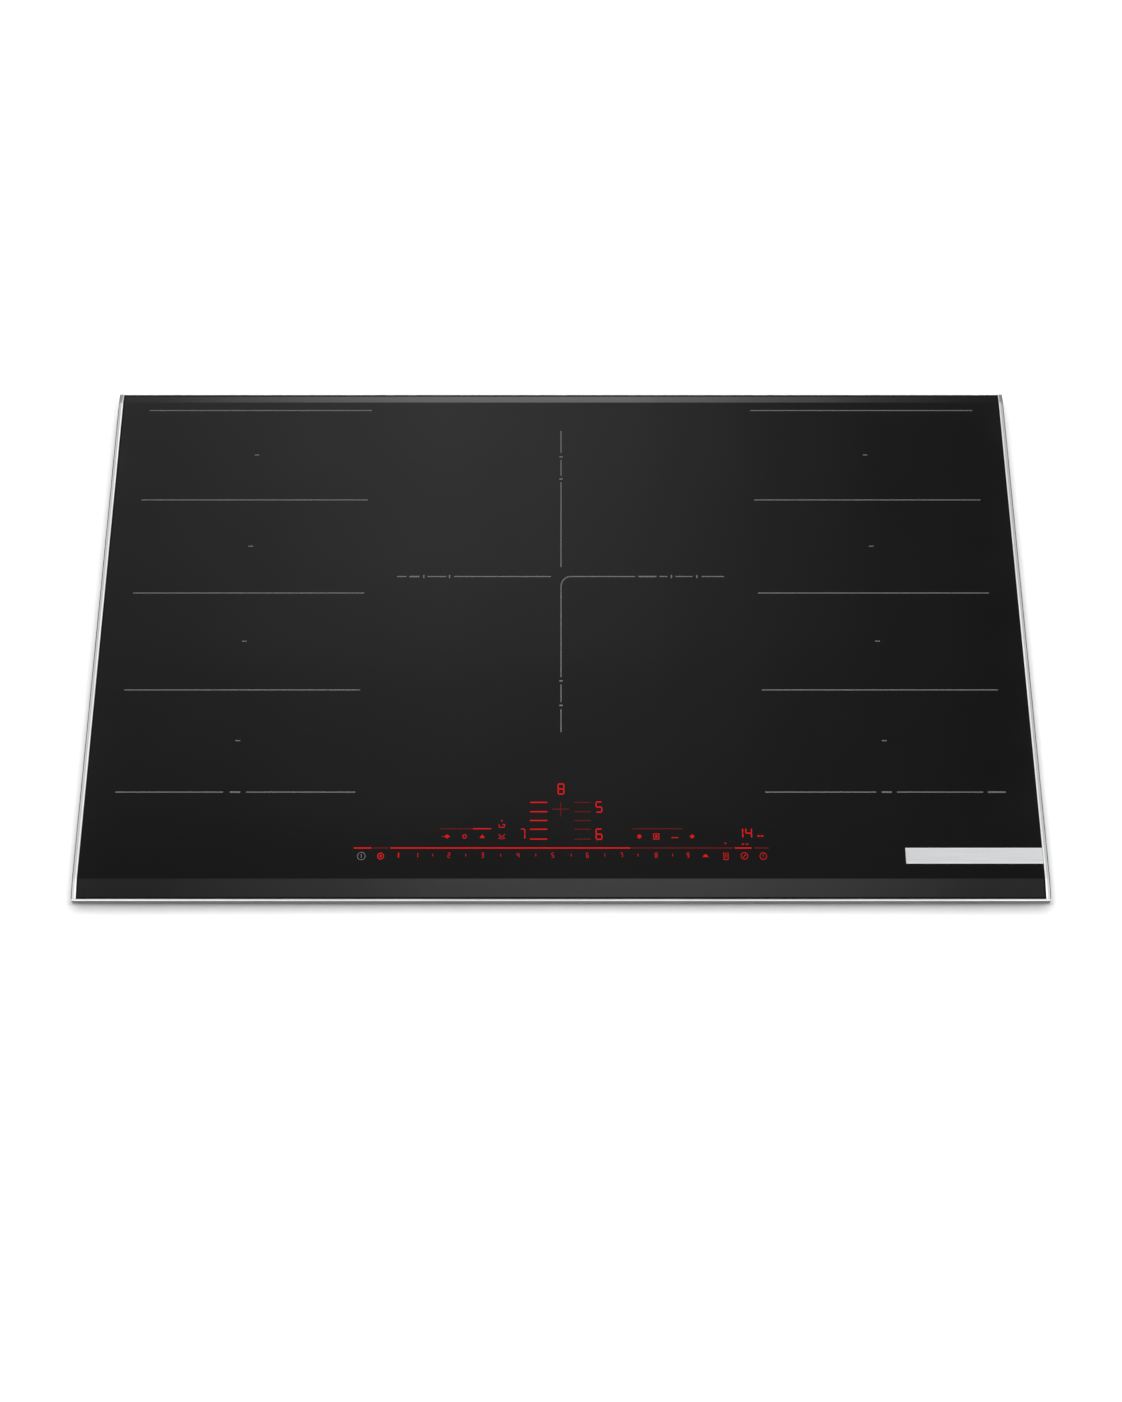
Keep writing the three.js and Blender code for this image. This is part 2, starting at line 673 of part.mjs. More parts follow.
// Five screw clamps in a row, with the wire channels open towards the rear.
function terminalBlock() {
  const clamps = 5;
  const pitch = 10;
  const x0 = 337;
  const body = block(x0, x0 + clamps * pitch, 203, 221, 4.25, 18);
  const tools = [];
  for (let i = 0; i < clamps; i += 1) {
    const x = x0 + (i + 0.5) * pitch;
    tools.push(block(x - 3, x + 3, 213, 222, 7, 13));
    tools.push(post(x, 208, 2.6, 14, 19, 12));
  }
  add("terminal_block", cut(body, ...tools), MATERIALS.greyPlastic);
}

function cableGland() {
  const { x, z, bore, hole, flange } = GLAND;
  const inner = CASING_Y - 12;
  const outer = CASING_Y + 4;
  const sleeve = rodAlongY(x, z, hole - FIT, inner, CASING_Y + 1, 28);
  const collar = rodAlongY(x, z, flange, CASING_Y + FIT, outer, 28);
  const way = rodAlongY(x, z, bore, inner - 1, outer + 1, 28);
  add("cable_gland", cut(join(sleeve, collar), way), MATERIALS.blackPlastic);
}

// The flap swings out and down on a pin held by the terminal box's two ears.
function terminalFlap() {
  const { x0, x1, hingeY, hingeZ, top } = FLAP;
  const inner = CASING_Y + 0.4;
  const outer = inner + 2;
  const plate = block(x0, x1, inner, outer, hingeZ + 1.6, top);
  const notches = EARS.map((x) => block(x - 3, x + 3, inner - 1, outer + 1, 0, hingeZ + 3.5));
  const pin = rodAlongX(hingeY, hingeZ, 1, EARS[0] - 3.5, EARS[1] + 3.5, 12);
  const webs = [
    [x0, EARS[0] - 3],
    [EARS[0] + 3, EARS[1] - 3],
    [EARS[1] + 3, x1],
  ].map(([a, b]) => block(a, b, hingeY - 0.7, outer, hingeZ - 0.5, hingeZ + 2));
  const grip = block((x0 + x1) / 2 - 8, (x0 + x1) / 2 + 8, outer - 0.5, outer + 1, top - 3, top);
  add("terminal_flap", join(cut(plate, ...notches), pin, ...webs, grip), MATERIALS.blackPlastic);
}

// ---- spring clips that hold the cooktop in the cut-out --------------------------------------------------

// side is 1 for the right wall and -1 for the left.
function clipSection(side) {
  const root = CASING_X + 0.9;
  const bow = [
    [root, CLIP.hinge],
    [root + 0.9, 16],
    [root + 4.4, 26],
    [root + 5.3, 29.5],
    [root + 4.7, 33],
    [root + 3.3, 38],
  ].map(([x, z]) => new THREE.Vector2(x, z));
  const curve = new THREE.SplineCurve(bow).getPoints(12);
  const centreline = [[root, 4], ...curve.map((p) => [p.x, p.y])].map(([x, z]) => [side * x, z]);
  const outline = strip(centreline, 0.8);
  return side > 0 ? outline : outline.reverse();
}

function springClips() {
  for (const [hand, side] of [
    ["left", -1],
    ["right", 1],
  ]) {
    const leaf = runAlongY(clipSection(side), -CLIP.width / 2, CLIP.width / 2);
    for (const [end, y] of [
      ["front", -CLIP.y],
      ["rear", CLIP.y],
    ]) {
      add(`spring_clip_${hand}_${end}`, leaf.clone(), MATERIALS.springSteel, assembly, 0, y);
    }
  }
}

// ---- the whole cooktop ----------------------------------------------------------------------------------

glassPlate();
sideTrims();
frontTrim();
badge();
carrierRails();
seals();
casingTray();
fanGrilles();
fans();
electronics();
coils();
touchControl();
terminalBox();
terminalBlock();
cableGland();
terminalFlap();
springClips();

export default assembly;
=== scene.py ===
import math

import bmesh
import bpy
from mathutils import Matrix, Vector


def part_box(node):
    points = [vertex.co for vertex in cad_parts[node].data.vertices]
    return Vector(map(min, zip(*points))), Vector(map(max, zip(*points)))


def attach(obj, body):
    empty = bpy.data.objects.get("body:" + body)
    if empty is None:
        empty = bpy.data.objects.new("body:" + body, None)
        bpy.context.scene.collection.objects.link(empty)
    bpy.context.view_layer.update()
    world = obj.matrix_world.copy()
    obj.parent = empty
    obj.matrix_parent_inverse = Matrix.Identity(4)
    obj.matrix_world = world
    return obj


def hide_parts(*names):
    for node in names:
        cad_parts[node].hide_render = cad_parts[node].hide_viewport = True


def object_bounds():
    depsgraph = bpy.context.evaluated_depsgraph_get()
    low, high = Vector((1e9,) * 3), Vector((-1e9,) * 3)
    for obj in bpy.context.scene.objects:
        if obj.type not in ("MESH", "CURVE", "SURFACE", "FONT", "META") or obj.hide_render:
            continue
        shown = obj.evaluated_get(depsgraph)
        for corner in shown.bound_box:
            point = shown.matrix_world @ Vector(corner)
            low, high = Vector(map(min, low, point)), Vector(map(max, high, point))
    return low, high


# An electric induction cooktop seen from above and in front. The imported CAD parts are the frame. This script
# adds the surfaces, the printed zone marks, the lit display, the pressed-metal detail and the windings.
# Helpers take millimetres and write metres.

MM = 0.001
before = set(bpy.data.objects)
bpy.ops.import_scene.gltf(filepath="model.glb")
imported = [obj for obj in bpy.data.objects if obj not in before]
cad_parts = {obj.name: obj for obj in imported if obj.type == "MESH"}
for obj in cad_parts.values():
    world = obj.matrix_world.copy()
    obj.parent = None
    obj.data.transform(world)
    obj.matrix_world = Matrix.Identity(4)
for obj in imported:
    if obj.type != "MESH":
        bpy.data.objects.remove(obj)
cad_low, cad_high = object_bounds()
scene = bpy.context.scene


def node_box(name):
    """The lowest and highest corner of a CAD node at rest, in millimetres."""
    low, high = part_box(name)
    return [round(c / MM, 3) for c in low], [round(c / MM, 3) for c in high]


def node_centre(name):
    return [(a + b) / 2 for a, b in zip(*node_box(name))]


# Driving dimensions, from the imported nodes
(_, GLASS_FRONT, GLASS_BOTTOM), (GLASS_X, REAR, GLASS_TOP) = node_box("glass_plate")
(_, FRONT, TRIM_BOTTOM), (RIGHT, _, RAIL_TOP) = node_box("front_trim")
(TRIM_FOOT, _, _), (_, _, TRIM_TOP) = node_box("side_trim_right")
CASING_X, CASING_Y, CASING_TOP = node_box("casing_tray")[1]
SIDES = ((-1, "left"), (1, "right"))

# Detail of the rim: the black joints, the facets of the glass and how far they fall
TRIM_INNER = GLASS_X + 0.75
TRIM_LIP = TRIM_INNER + 0.24
RAIL_BACK = FRONT + 3.3
FRONT_BREAK = GLASS_FRONT + 17.85
REAR_BREAK = REAR - 9.8
FRONT_DROP = 2.0
REAR_DROP = 2.25
TRIM_REAR_DROP = 1.3
GROUND = 2.1
PRINT_BOTTOM = GLASS_TOP + 0.002
PRINT_TOP = GLASS_TOP + 0.03

# ---- surfaces ----


class Nodes:
    """A node tree, with the nodes that surfaces and the surroundings both use."""

    def __init__(self, tree):
        self.tree = tree

    def node(self, kind, inputs=None, **settings):
        made = self.tree.nodes.new(kind)
        for key, value in (inputs or {}).items():
            made.inputs[key].default_value = value
        for key, value in settings.items():
            setattr(made, key, value)
        return made

    def link(self, source, target):
        self.tree.links.new(source, target)

    def calc(self, operation, *values):
        """A math node; a value is a number or the socket that it comes from."""
        node = self.node("ShaderNodeMath", operation=operation)
        for socket, value in zip(node.inputs, values):
            if isinstance(value, (int, float)):
                socket.default_value = value
            else:
                self.link(value, socket)
        return node.outputs["Value"]

    def ramp(self, source, stops, low, high, ease="EASE"):
        """Maps source through (position, value) stops between low and high."""
        remap = self.node("ShaderNodeMapRange", {"From Min": low, "From Max": high})
        self.link(source, remap.inputs["Value"])
        made = self.node("ShaderNodeValToRGB")
        made.color_ramp.interpolation = ease
        elements = made.color_ramp.elements
        elements.remove(elements[-1])
        for i, (position, value) in enumerate(stops):
            at = (position - low) / (high - low)
            element = elements.new(at) if i else elements[0]
            element.position, element.color = at, (value, value, value, 1.0)
        self.link(remap.outputs["Result"], made.inputs["Fac"])
        return made.outputs["Color"]


class Surface(Nodes):
    """A node material built round one Principled shader."""

    def __init__(self, name, color, roughness, metallic=0.0, specular=0.5):
        self.material = bpy.data.materials.new(name)
        self.material.use_nodes = True
        super().__init__(self.material.node_tree)
        self.shader = self.tree.nodes["Principled BSDF"]
        self.color, self.roughness = color, roughness
        self.set("Base Color", (*color, 1.0))
        self.set("Roughness", roughness)
        self.set("Metallic", metallic)
        self.set("Specular IOR Level", specular)

    def set(self, socket, value):
        self.shader.inputs[socket].default_value = value

    def glow(self, color, strength):
        self.set("Emission Color", (*color, 1.0))
        self.set("Emission Strength", strength)

    def coordinates(self, stretch=(1, 1, 1)):
        where = self.node("ShaderNodeTexCoord")
        mapping = self.node("ShaderNodeMapping", {"Scale": stretch})
        self.link(where.outputs["Object"], mapping.inputs["Vector"])
        return mapping.outputs["Vector"]

    def noise(self, scale, detail=3.0, stretch=(1, 1, 1)):
        noise = self.node("ShaderNodeTexNoise", {"Scale": scale, "Detail": detail})
        self.link(self.coordinates(stretch), noise.inputs["Vector"])
        return noise.outputs["Fac"]

    def cells(self, scale):
        cells = self.node("ShaderNodeTexVoronoi", {"Scale": scale})
        self.link(self.coordinates(), cells.inputs["Vector"])
        return cells

    def spread(self, source, low, high):
        """Stretches the middle part of a pattern from low to high."""
        ends = {"From Min": 0.3, "From Max": 0.7, "To Min": low, "To Max": high}
        remap = self.node("ShaderNodeMapRange", ends)
        self.link(source, remap.inputs["Value"])
        return remap.outputs["Result"]

    def vary_roughness(self, source, amount):
        low = max(0.0, self.roughness - amount)
        high = min(1.0, self.roughness + amount)
        self.link(self.spread(source, low, high), self.shader.inputs["Roughness"])

    def vary_color(self, source, factor=1.0, other=None):
        """Varies from the surface's own colour to another, or to its own times a factor."""
        other = other or tuple(c * factor for c in self.color)
        mix = self.node("ShaderNodeMix", {6: (*self.color, 1.0), 7: (*other, 1.0)}, data_type="RGBA")
        self.link(self.spread(source, 0.0, 1.0), mix.inputs["Factor"])
        self.link(mix.outputs[2], self.shader.inputs["Base Color"])

    def bump(self, source, depth):
        bump = self.node("ShaderNodeBump", {"Distance": depth * MM})
        self.link(source, bump.inputs["Height"])
        self.link(bump.outputs["Normal"], self.shader.inputs["Normal"])


def glass_ceramic(name, roughness):
    made = Surface(name, (0.0030, 0.0030, 0.0031), roughness)
    made.vary_color(made.noise(9.0, 4.0), other=(0.0036, 0.0036, 0.0036))
    made.vary_roughness(made.noise(14.0, 5.0), roughness * 0.25)
    return made.material


def brushed(name, color, roughness, along):
    stretch = tuple(0.02 if axis == along else 1.0 for axis in "xyz")
    made = Surface(name, color, roughness, 1.0)
    grain = made.noise(1800.0, 2.0, stretch)
    made.vary_color(grain, 0.9)
    made.vary_roughness(made.noise(600.0, 3.0, stretch), 0.06)
    made.bump(grain, 0.004)
    return made.material


def galvanised():
    """Zinc crystals of slightly different greys, with slow cloudy changes over them."""
    made = Surface("galvanised_steel", (0.50, 0.515, 0.525), 0.44, 0.9)
    crystals = made.node("ShaderNodeSeparateColor")
    made.link(made.cells(210.0).outputs["Color"], crystals.inputs["Color"])
    share = made.calc("MULTIPLY", crystals.outputs[0], 0.35)
    clouded = made.calc("MULTIPLY_ADD", made.noise(14.0, 2.0), 0.9, share)
    made.vary_color(clouded, other=(0.60, 0.615, 0.63))
    made.vary_roughness(crystals.outputs[1], 0.05)
    made.bump(made.noise(700.0), 0.004)
    return made.material


def plain_metal(name, color, roughness, scale=250.0, depth=0.004):
    made = Surface(name, color, roughness, 1.0)
    made.vary_color(made.noise(40.0, 4.0), 0.86)
    made.vary_roughness(made.noise(90.0, 4.0), 0.08)
    made.bump(made.noise(scale), depth)
    return made.material


def moulded(name, color, roughness):
    made = Surface(name, color, roughness)
    grain = made.noise(900.0, 4.0)
    made.vary_color(made.noise(30.0), 1.25)
    made.vary_roughness(grain, 0.07)
    made.bump(grain, 0.02)
    return made.material


def soft(name, color, scale, depth, roughness=0.9, specular=0.3):
    made = Surface(name, color, roughness, specular=specular)
    made.vary_color(made.noise(60.0, 4.0), 1.5)
    made.vary_roughness(made.noise(120.0), 0.05)
    made.bump(made.cells(scale).outputs["Distance"], depth)
    return made.material


def circuit_board():
    """Green board with the lines of its tracks."""
    made = Surface("circuit_board", (0.012, 0.075, 0.035), 0.35)
    sizes = {"Scale": 60.0, "Mortar Size": 0.03}
    tracks = made.node("ShaderNodeTexBrick", sizes, offset=0.37, squash=0.6)
    made.link(made.coordinates(), tracks.inputs["Vector"])
    made.vary_color(tracks.outputs["Fac"], other=(0.03, 0.14, 0.07))
    made.vary_roughness(made.noise(200.0), 0.08)
    made.bump(tracks.outputs["Fac"], 0.03)
    return made.material


def lit(name, color, strength):
    made = Surface(name, (0.004, 0.001, 0.001), 0.3, specular=0.2)
    made.glow(color, strength)
    made.vary_roughness(made.noise(300.0, 2.0), 0.05)
    return made.material


def printed(name, color):
    made = Surface(name, color, 0.55, specular=0.3)
    made.vary_color(made.noise(500.0), 0.8)
    made.vary_roughness(made.noise(700.0, 2.0), 0.08)
    return made.material


GLASS = glass_ceramic("glass_ceramic", 0.07)
FACET = glass_ceramic("glass_ceramic_facet", 0.09)
STEEL_Y = brushed("stainless_along_y", (0.86, 0.87, 0.88), 0.34, "y")
STEEL_X = brushed("stainless_along_x", (0.86, 0.87, 0.88), 0.36, "x")
# Painted shade: darker copies of the trims' stainless steel, for the falls and outer edges of the side trims
# and the front of the rail; all of it is the same metal as the bright band
SHADED_FALL_Y = brushed("stainless_painted_shade_fall_along_y", (0.60, 0.607, 0.614), 0.34, "y")
SHADED_EDGE_Y = brushed("stainless_painted_shade_edge_along_y", (0.11, 0.112, 0.114), 0.36, "y")
SHADED_FALL_X = brushed("stainless_painted_shade_fall_along_x", (0.22, 0.223, 0.226), 0.36, "x")
SHADED_EDGE_X = brushed("stainless_painted_shade_edge_along_x", (0.10, 0.102, 0.104), 0.36, "x")
BADGE = brushed("badge_metal", (0.81, 0.818, 0.83), 0.5, "x")
# Painted highlight: a lighter copy of the badge metal for its bevelled long edges
BADGE_BEVEL_HIGHLIGHT = brushed("badge_bevel_painted_highlight", (0.90, 0.91, 0.92), 0.5, "x")
GALVANISED = galvanised()
SPRING = plain_metal("spring_steel", (0.55, 0.56, 0.58), 0.28)
ALUMINIUM = plain_metal("aluminium", (0.74, 0.75, 0.76), 0.38)
SCREW = plain_metal("screw_steel", (0.45, 0.46, 0.48), 0.32)
IRON = plain_metal("laminated_iron", (0.10, 0.10, 0.11), 0.5)
COPPER = plain_metal("copper_litz", (0.62, 0.27, 0.12), 0.35, 900.0, 0.05)
BLACK_PLASTIC = moulded("black_plastic", (0.016, 0.016, 0.018), 0.5)
GREY_PLASTIC = moulded("grey_plastic", (0.17, 0.18, 0.19), 0.5)
FOAM = soft("foam_seal", (0.018, 0.018, 0.019), 700.0, 0.15)
SILICONE = soft("silicone_joint", (0.003, 0.003, 0.003), 300.0, 0.01, 0.7, 0.1)
GROUND_EDGE = soft("glass_ground_edge", (0.006, 0.006, 0.006), 900.0, 0.004, 0.7, 0.05)
FIBRE = soft("ceramic_fibre", (0.62, 0.60, 0.55), 400.0, 0.2)
MICA = soft("mica_board", (0.36, 0.30, 0.20), 200.0, 0.03, 0.6)
BOARD = circuit_board()
PRINT = printed("zone_print", (0.125, 0.125, 0.125))
RED = lit("red_light", (1.0, 0.002, 0.004), 0.88)
RED_SMALL = lit("red_light_small", (1.0, 0.006, 0.008), 0.66)
RED_DIM = lit("red_light_dim", (1.0, 0.01, 0.012), 0.15)

# ---- mesh building ----


def new_object(name, bm, scale=MM):
    bmesh.ops.scale(bm, vec=(scale, scale, scale), verts=bm.verts)
    mesh = bpy.data.meshes.new(name)
    bm.to_mesh(mesh)
    bm.free()
    made = bpy.data.objects.new(name, mesh)
    scene.collection.objects.link(made)
    return made


def smooth_below(made, degrees):
    """Shades smooth, and keeps every edge sharper than this angle crisp."""
    made.data.shade_smooth()
    made.data.set_sharp_from_angle(angle=math.radians(degrees))


def piece(name, bm, slot, *materials, body="cooktop", smooth=30.0):
    """Turns a mesh in millimetres into a piece of the object."""
    bmesh.ops.remove_doubles(bm, verts=bm.verts, dist=1e-4)
    bmesh.ops.recalc_face_normals(bm, faces=bm.faces)
    made = new_object(name, bm)
    for material in materials:
        made.data.materials.append(material)
    if smooth:
        smooth_below(made, smooth)
    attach(made, body)
    return made


def loft(bm, rings, closed=True, caps=True):
    """Joins rings of points, each a list of (x, y, z), into one skin."""
    made = [[bm.verts.new(point) for point in ring] for ring in rings]
    for a, b in zip(made, made[1:]):
        count = len(a)
        for i in range(count if closed else count - 1):
            j = (i + 1) % count
            bm.faces.new((a[i], a[j], b[j], b[i]))
    if caps:
        bm.faces.new(list(reversed(made[0])))
        bm.faces.new(made[-1])


def lofted(rings, **how):
    bm = bmesh.new()
    loft(bm, rings, **how)
    return bm


def level(outline, z):
    """An outline of (x, y) points at one height."""
    return [(x, y, z) for x, y in outline]


def prism(bm, outline, z0, z1):
    loft(bm, [level(outline, z0), level(outline, z1)])


def bar_along_x(section, x0, x1):
    """A bar whose section is a list of (y, z)."""
    return lofted([[(x, y, z) for y, z in section] for x in (x0, x1)])


def hole_along_y(bm, outline, y0, y1):
    """A cutting bar through a wall, whose outline is a list of (x, z)."""
    loft(bm, [[(x, y, z) for x, z in outline] for y in (y0, y1)])


def ribbon(bm, points, width, z0, z1, closed=False):
    """A flat strip of one width along a line of points, with mitred corners."""
    path = [Vector(p) for p in points]
    count = len(path)
    sections = []
    for i, point in enumerate(path):
        before = path[i - 1] if closed or i else point
        after = path[(i + 1) % count] if closed or i < count - 1 else point
        first = (point - before).normalized() if before != point else (after - point).normalized()
        second = (after - point).normalized() if after != point else first
        across = Vector((-first.y, first.x))
        normal = Vector((-first.y - second.y, first.x + second.x))
        normal = normal.normalized() if normal.length > 1e-6 else across
        reach = width / 2 / max(0.35, normal.dot(across))
        left, right = point + normal * reach, point - normal * reach
        corners = ((left, z0), (right, z0), (right, z1), (left, z1))
        sections.append([(corner.x, corner.y, z) for corner, z in corners])
    if closed:
        loft(bm, sections + [sections[0]], caps=False)
    else:
        loft(bm, sections)


def arc(cx, cy, radius, start, end, steps=16, ry=None):
    ry = radius if ry is None else ry
    angles = [math.radians(start + (end - start) * i / steps) for i in range(steps + 1)]
    return [(cx + radius * math.cos(a), cy + ry * math.sin(a)) for a in angles]


def circle(cx, cy, radius, steps=24):
    return arc(cx, cy, radius, 0, 360, steps)[:-1]


def box_outline(x0, x1, y0, y1):
    return [(x0, y0), (x1, y0), (x1, y1), (x0, y1)]


def rounded_outline(half_x, half_y, radius, steps=5, cx=0.0, cy=0.0):
    points = []
    for sx, sy, start in ((1, -1, -90), (1, 1, 0), (-1, 1, 90), (-1, -1, 180)):
        x, y = cx + sx * (half_x - radius), cy + sy * (half_y - radius)
        points += arc(x, y, radius, start, start + 90, steps)
    return points


class Marks:
    """Thin raised marks on the glass, gathered into one piece."""

    def __init__(self, name, material):
        self.name, self.material = name, material
        self.bm = bmesh.new()

    def shape(self, outline):
        prism(self.bm, outline, PRINT_BOTTOM, PRINT_TOP)

    def bar(self, x0, x1, y, width):
        self.shape(box_outline(min(x0, x1), max(x0, x1), y - width / 2, y + width / 2))

    def bars(self, spans, y, width):
        for x0, x1 in spans:
            self.bar(x0, x1, y, width)

    def stem(self, x, y0, y1, width):
        self.shape(box_outline(x - width / 2, x + width / 2, min(y0, y1), max(y0, y1)))

    def line(self, points, width, closed=False):
        ribbon(self.bm, points, width, PRINT_BOTTOM, PRINT_TOP, closed)

    def ring(self, cx, cy, radius, width, steps=28):
        self.line(circle(cx, cy, radius, steps), width, True)

    def dot(self, cx, cy, radius, steps):
        self.shape(circle(cx, cy, radius, steps))

    def done(self):
        piece(self.name, self.bm, "glass_ceramic", self.material, smooth=0)


# ---- the glass and its trims ----


def trim_drop(y):
    """How far the top edge falls at a place along the depth, beside the facets."""
    if y < FRONT_BREAK:
        return FRONT_DROP * (FRONT_BREAK - y) / (FRONT_BREAK - GLASS_FRONT)
    if y > REAR_BREAK:
        return TRIM_REAR_DROP * (y - REAR_BREAK) / (REAR - REAR_BREAK)
    return 0.0


def glass_top():
    """The plate with a facet along the front and the rear, and a matt ground strip at its rear edge."""
    ground_drop = REAR_DROP * (1 - GROUND / (REAR - REAR_BREAK))
    section = [(GLASS_FRONT, GLASS_BOTTOM), (REAR - 0.4, GLASS_BOTTOM), (REAR, GLASS_BOTTOM + 0.5)]
    section += [(REAR, GLASS_TOP - REAR_DROP), (REAR - GROUND, GLASS_TOP - ground_drop)]
    section += [(REAR_BREAK, GLASS_TOP), (FRONT_BREAK, GLASS_TOP), (GLASS_FRONT, GLASS_TOP - FRONT_DROP)]
    bm = bar_along_x(section, -GLASS_X, GLASS_X)
    sharp = [e for e in bm.edges if e.calc_face_angle() > math.radians(35)]
    bmesh.ops.bevel(bm, geom=sharp, offset=0.14, segments=2, profile=0.5, affect="EDGES")
    bm.normal_update()
    for face in bm.faces:
        tilt = abs(face.normal.y)
        if face.normal.z > 0.5 and 0.08 < tilt < 0.24 and face.calc_area() > 100:
            face.material_index = 1
        if face.normal.z < 0.9 or face.calc_center_median().y > REAR - GROUND:
            face.material_index = 2
    made = piece("glass_top", bm, "glass_ceramic", GLASS, FACET, GROUND_EDGE, smooth=3.0)
    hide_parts("glass_plate")


def side_trim(side, hand):
    """A bright inner band, a shallow fall and a rounded outer edge, swept from front to rear. The fall and the
    outer edge are painted shade: darker copies of the same steel.
    """
    foot, roll, edge = 0.9, 1.5, 0.3
    band_end, shaded_fall_end = 1.7, 3.7
    outline = [(TRIM_FOOT, TRIM_BOTTOM)]
    outline += arc(RIGHT - edge, TRIM_BOTTOM + edge, edge, -90, 0, 2)
    outline += arc(RIGHT - roll, TRIM_TOP - 2.03, roll, 0, 74, 8)
    outline += [(TRIM_INNER + 2.0, TRIM_TOP - 0.18), (TRIM_INNER + 1.75, TRIM_TOP - 0.14)]
    outline += [(TRIM_INNER + 0.42, TRIM_TOP - 0.005), (TRIM_INNER + 0.3, TRIM_TOP - 0.04)]
    outline += [(TRIM_LIP, TRIM_TOP - 0.15), (TRIM_LIP, TRIM_BOTTOM + foot)]
    outline.append((TRIM_FOOT, TRIM_BOTTOM + foot))
    stations = [RAIL_BACK + 0.15, FRONT_BREAK - 13.6, FRONT_BREAK - 6.6]
    stations += [FRONT_BREAK - 1, FRONT_BREAK, FRONT_BREAK + 1]
    stations += range(-180, 181, 60)
    stations += [REAR_BREAK - 1, REAR_BREAK, REAR_BREAK + 1, REAR - 5.5, REAR]
    rings = []
    for y in stations:
        fall = trim_drop(y)
        rings.append([(side * x, y, z - fall if z > GLASS_TOP - 2.5 else z) for x, z in outline])
    bm = lofted(rings)
    # painted shade: the fall and the outer edge get the darker copies of the steel
    for face in bm.faces:
        across = abs(face.calc_center_median().x) - TRIM_INNER
        face.material_index = 0 if across < band_end else 1 if across < shaded_fall_end else 2
    made = piece(f"side_trim_{hand}_brushed", bm, "trim_metal", STEEL_Y, SHADED_FALL_Y, SHADED_EDGE_Y, smooth=9)
    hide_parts(f"side_trim_{hand}")


def front_trim():
    """A narrow rail, rounded over its whole top, with rounded ends in plan. Its front carries painted shade,
    darker towards the front face.
    """
    corner, edge, roll, roll_height, roll_start = 3.0, 0.3, 2.6, 2.55, 1.3
    shaded_edge_end, shaded_fall_end = 0.8, 1.7
    levels = [(edge, TRIM_BOTTOM), (0.0, TRIM_BOTTOM + edge)]
    for i in range(10):
        a = math.radians(8.5 * i)
        levels.append((roll * (1 - math.cos(a)), TRIM_BOTTOM + roll_start + roll_height * math.sin(a)))
    levels += [(2.9, RAIL_TOP - 0.02), (3.2, RAIL_TOP - 0.1)]
    rings = []
    for inset, z in levels:
        r = max(corner - inset, edge)
        x, y = RIGHT - inset, min(FRONT + inset, RAIL_BACK - 0.02)
        outline = [(-x, RAIL_BACK)] + arc(-x + r, y + r, r, 180, 270, 6)
        outline += arc(x - r, y + r, r, 270, 360, 6) + [(x, RAIL_BACK)]
        rings.append([(px, min(py, RAIL_BACK), z) for px, py in outline])
    bm = lofted(rings)
    # painted shade: the front of the roll and the front face get darker copies of the steel
    for face in bm.faces:
        depth = face.calc_center_median().y - FRONT
        face.material_index = 2 if depth < shaded_edge_end else 1 if depth < shaded_fall_end else 0
    made = piece("front_trim_brushed", bm, "trim_metal", STEEL_X, SHADED_FALL_X, SHADED_EDGE_X, smooth=32)
    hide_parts("front_trim")


def side_joint(side, hand):
    """Black silicone between the glass and a side trim."""
    bottom = GLASS_BOTTOM + 0.1
    section = [(GLASS_X, bottom), (TRIM_LIP, bottom), (TRIM_LIP, GLASS_TOP + 0.22)]
    section += [(GLASS_X - 0.3, GLASS_TOP + 0.06), (GLASS_X - 0.4, GLASS_TOP + 0.01)]
    section.append((GLASS_X, GLASS_TOP - 0.1))
    stations = [(GLASS_FRONT - 0.4, FRONT_DROP), (FRONT_BREAK, 0.0), (0.0, 0.0), (REAR_BREAK, 0.0)]
    stations.append((REAR, REAR_DROP))
    bm = lofted([[(side * x, y, z if z == bottom else z - fall) for x, z in section] for y, fall in stations])
    piece(f"joint_bead_{hand}", bm, "foam_seal", SILICONE)


def front_joint():
    """Black silicone between the glass and the front rail."""
    bottom, edge = GLASS_BOTTOM + 0.1, GLASS_TOP - FRONT_DROP
    section = [(GLASS_FRONT, bottom), (RAIL_BACK, bottom), (RAIL_BACK, edge + 0.22),
               (GLASS_FRONT - 0.2, edge + 0.1), (GLASS_FRONT + 0.9, edge + 0.16),
               (GLASS_FRONT + 1.0, edge + 0.08), (GLASS_FRONT, edge - 0.1)]
    bm = bar_along_x(section, -GLASS_X, GLASS_X)
    piece("joint_bead_front", bm, "foam_seal", SILICONE)


def badge():
    """A blank brushed plate let into the right-hand end of the glass, with bevelled long edges. The long
    bevels carry a painted highlight, a lighter copy of the plate's metal.
    """
    (x0, low_y, _), (high_x, high_y, high_z) = node_box("badge_plate")
    x1, y0, y1 = high_x + 0.8, low_y + 0.7, high_y - 0.05
    z0, z1 = GLASS_TOP + 0.01, high_z - 0.02
    chamfer, bevel = 0.08, 0.95
    rings = []
    for inset, z in ((0.0, z0), (0.0, z1 - chamfer), (chamfer, z1), (bevel, z1), (bevel + 0.1, z1 - 0.05)):
        rings.append(level(box_outline(x0 + inset, x1 - inset, y0 + inset, y1 - inset), z))
    bm = lofted(rings)
    bm.normal_update()
    # painted highlight on the chamfers and bevel bands along the long edges
    for face in bm.faces:
        y = face.calc_center_median().y
        on_highlight_bevel = min(y - y0, y1 - y) < bevel + 0.05 and face.normal.z > 0.5
        face.material_index = 1 if on_highlight_bevel else 0
    made = piece("badge_plate_brushed", bm, "badge_metal", BADGE, BADGE_BEVEL_HIGHLIGHT, smooth=0)
    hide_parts("badge_plate")


# ---- zone marks ----

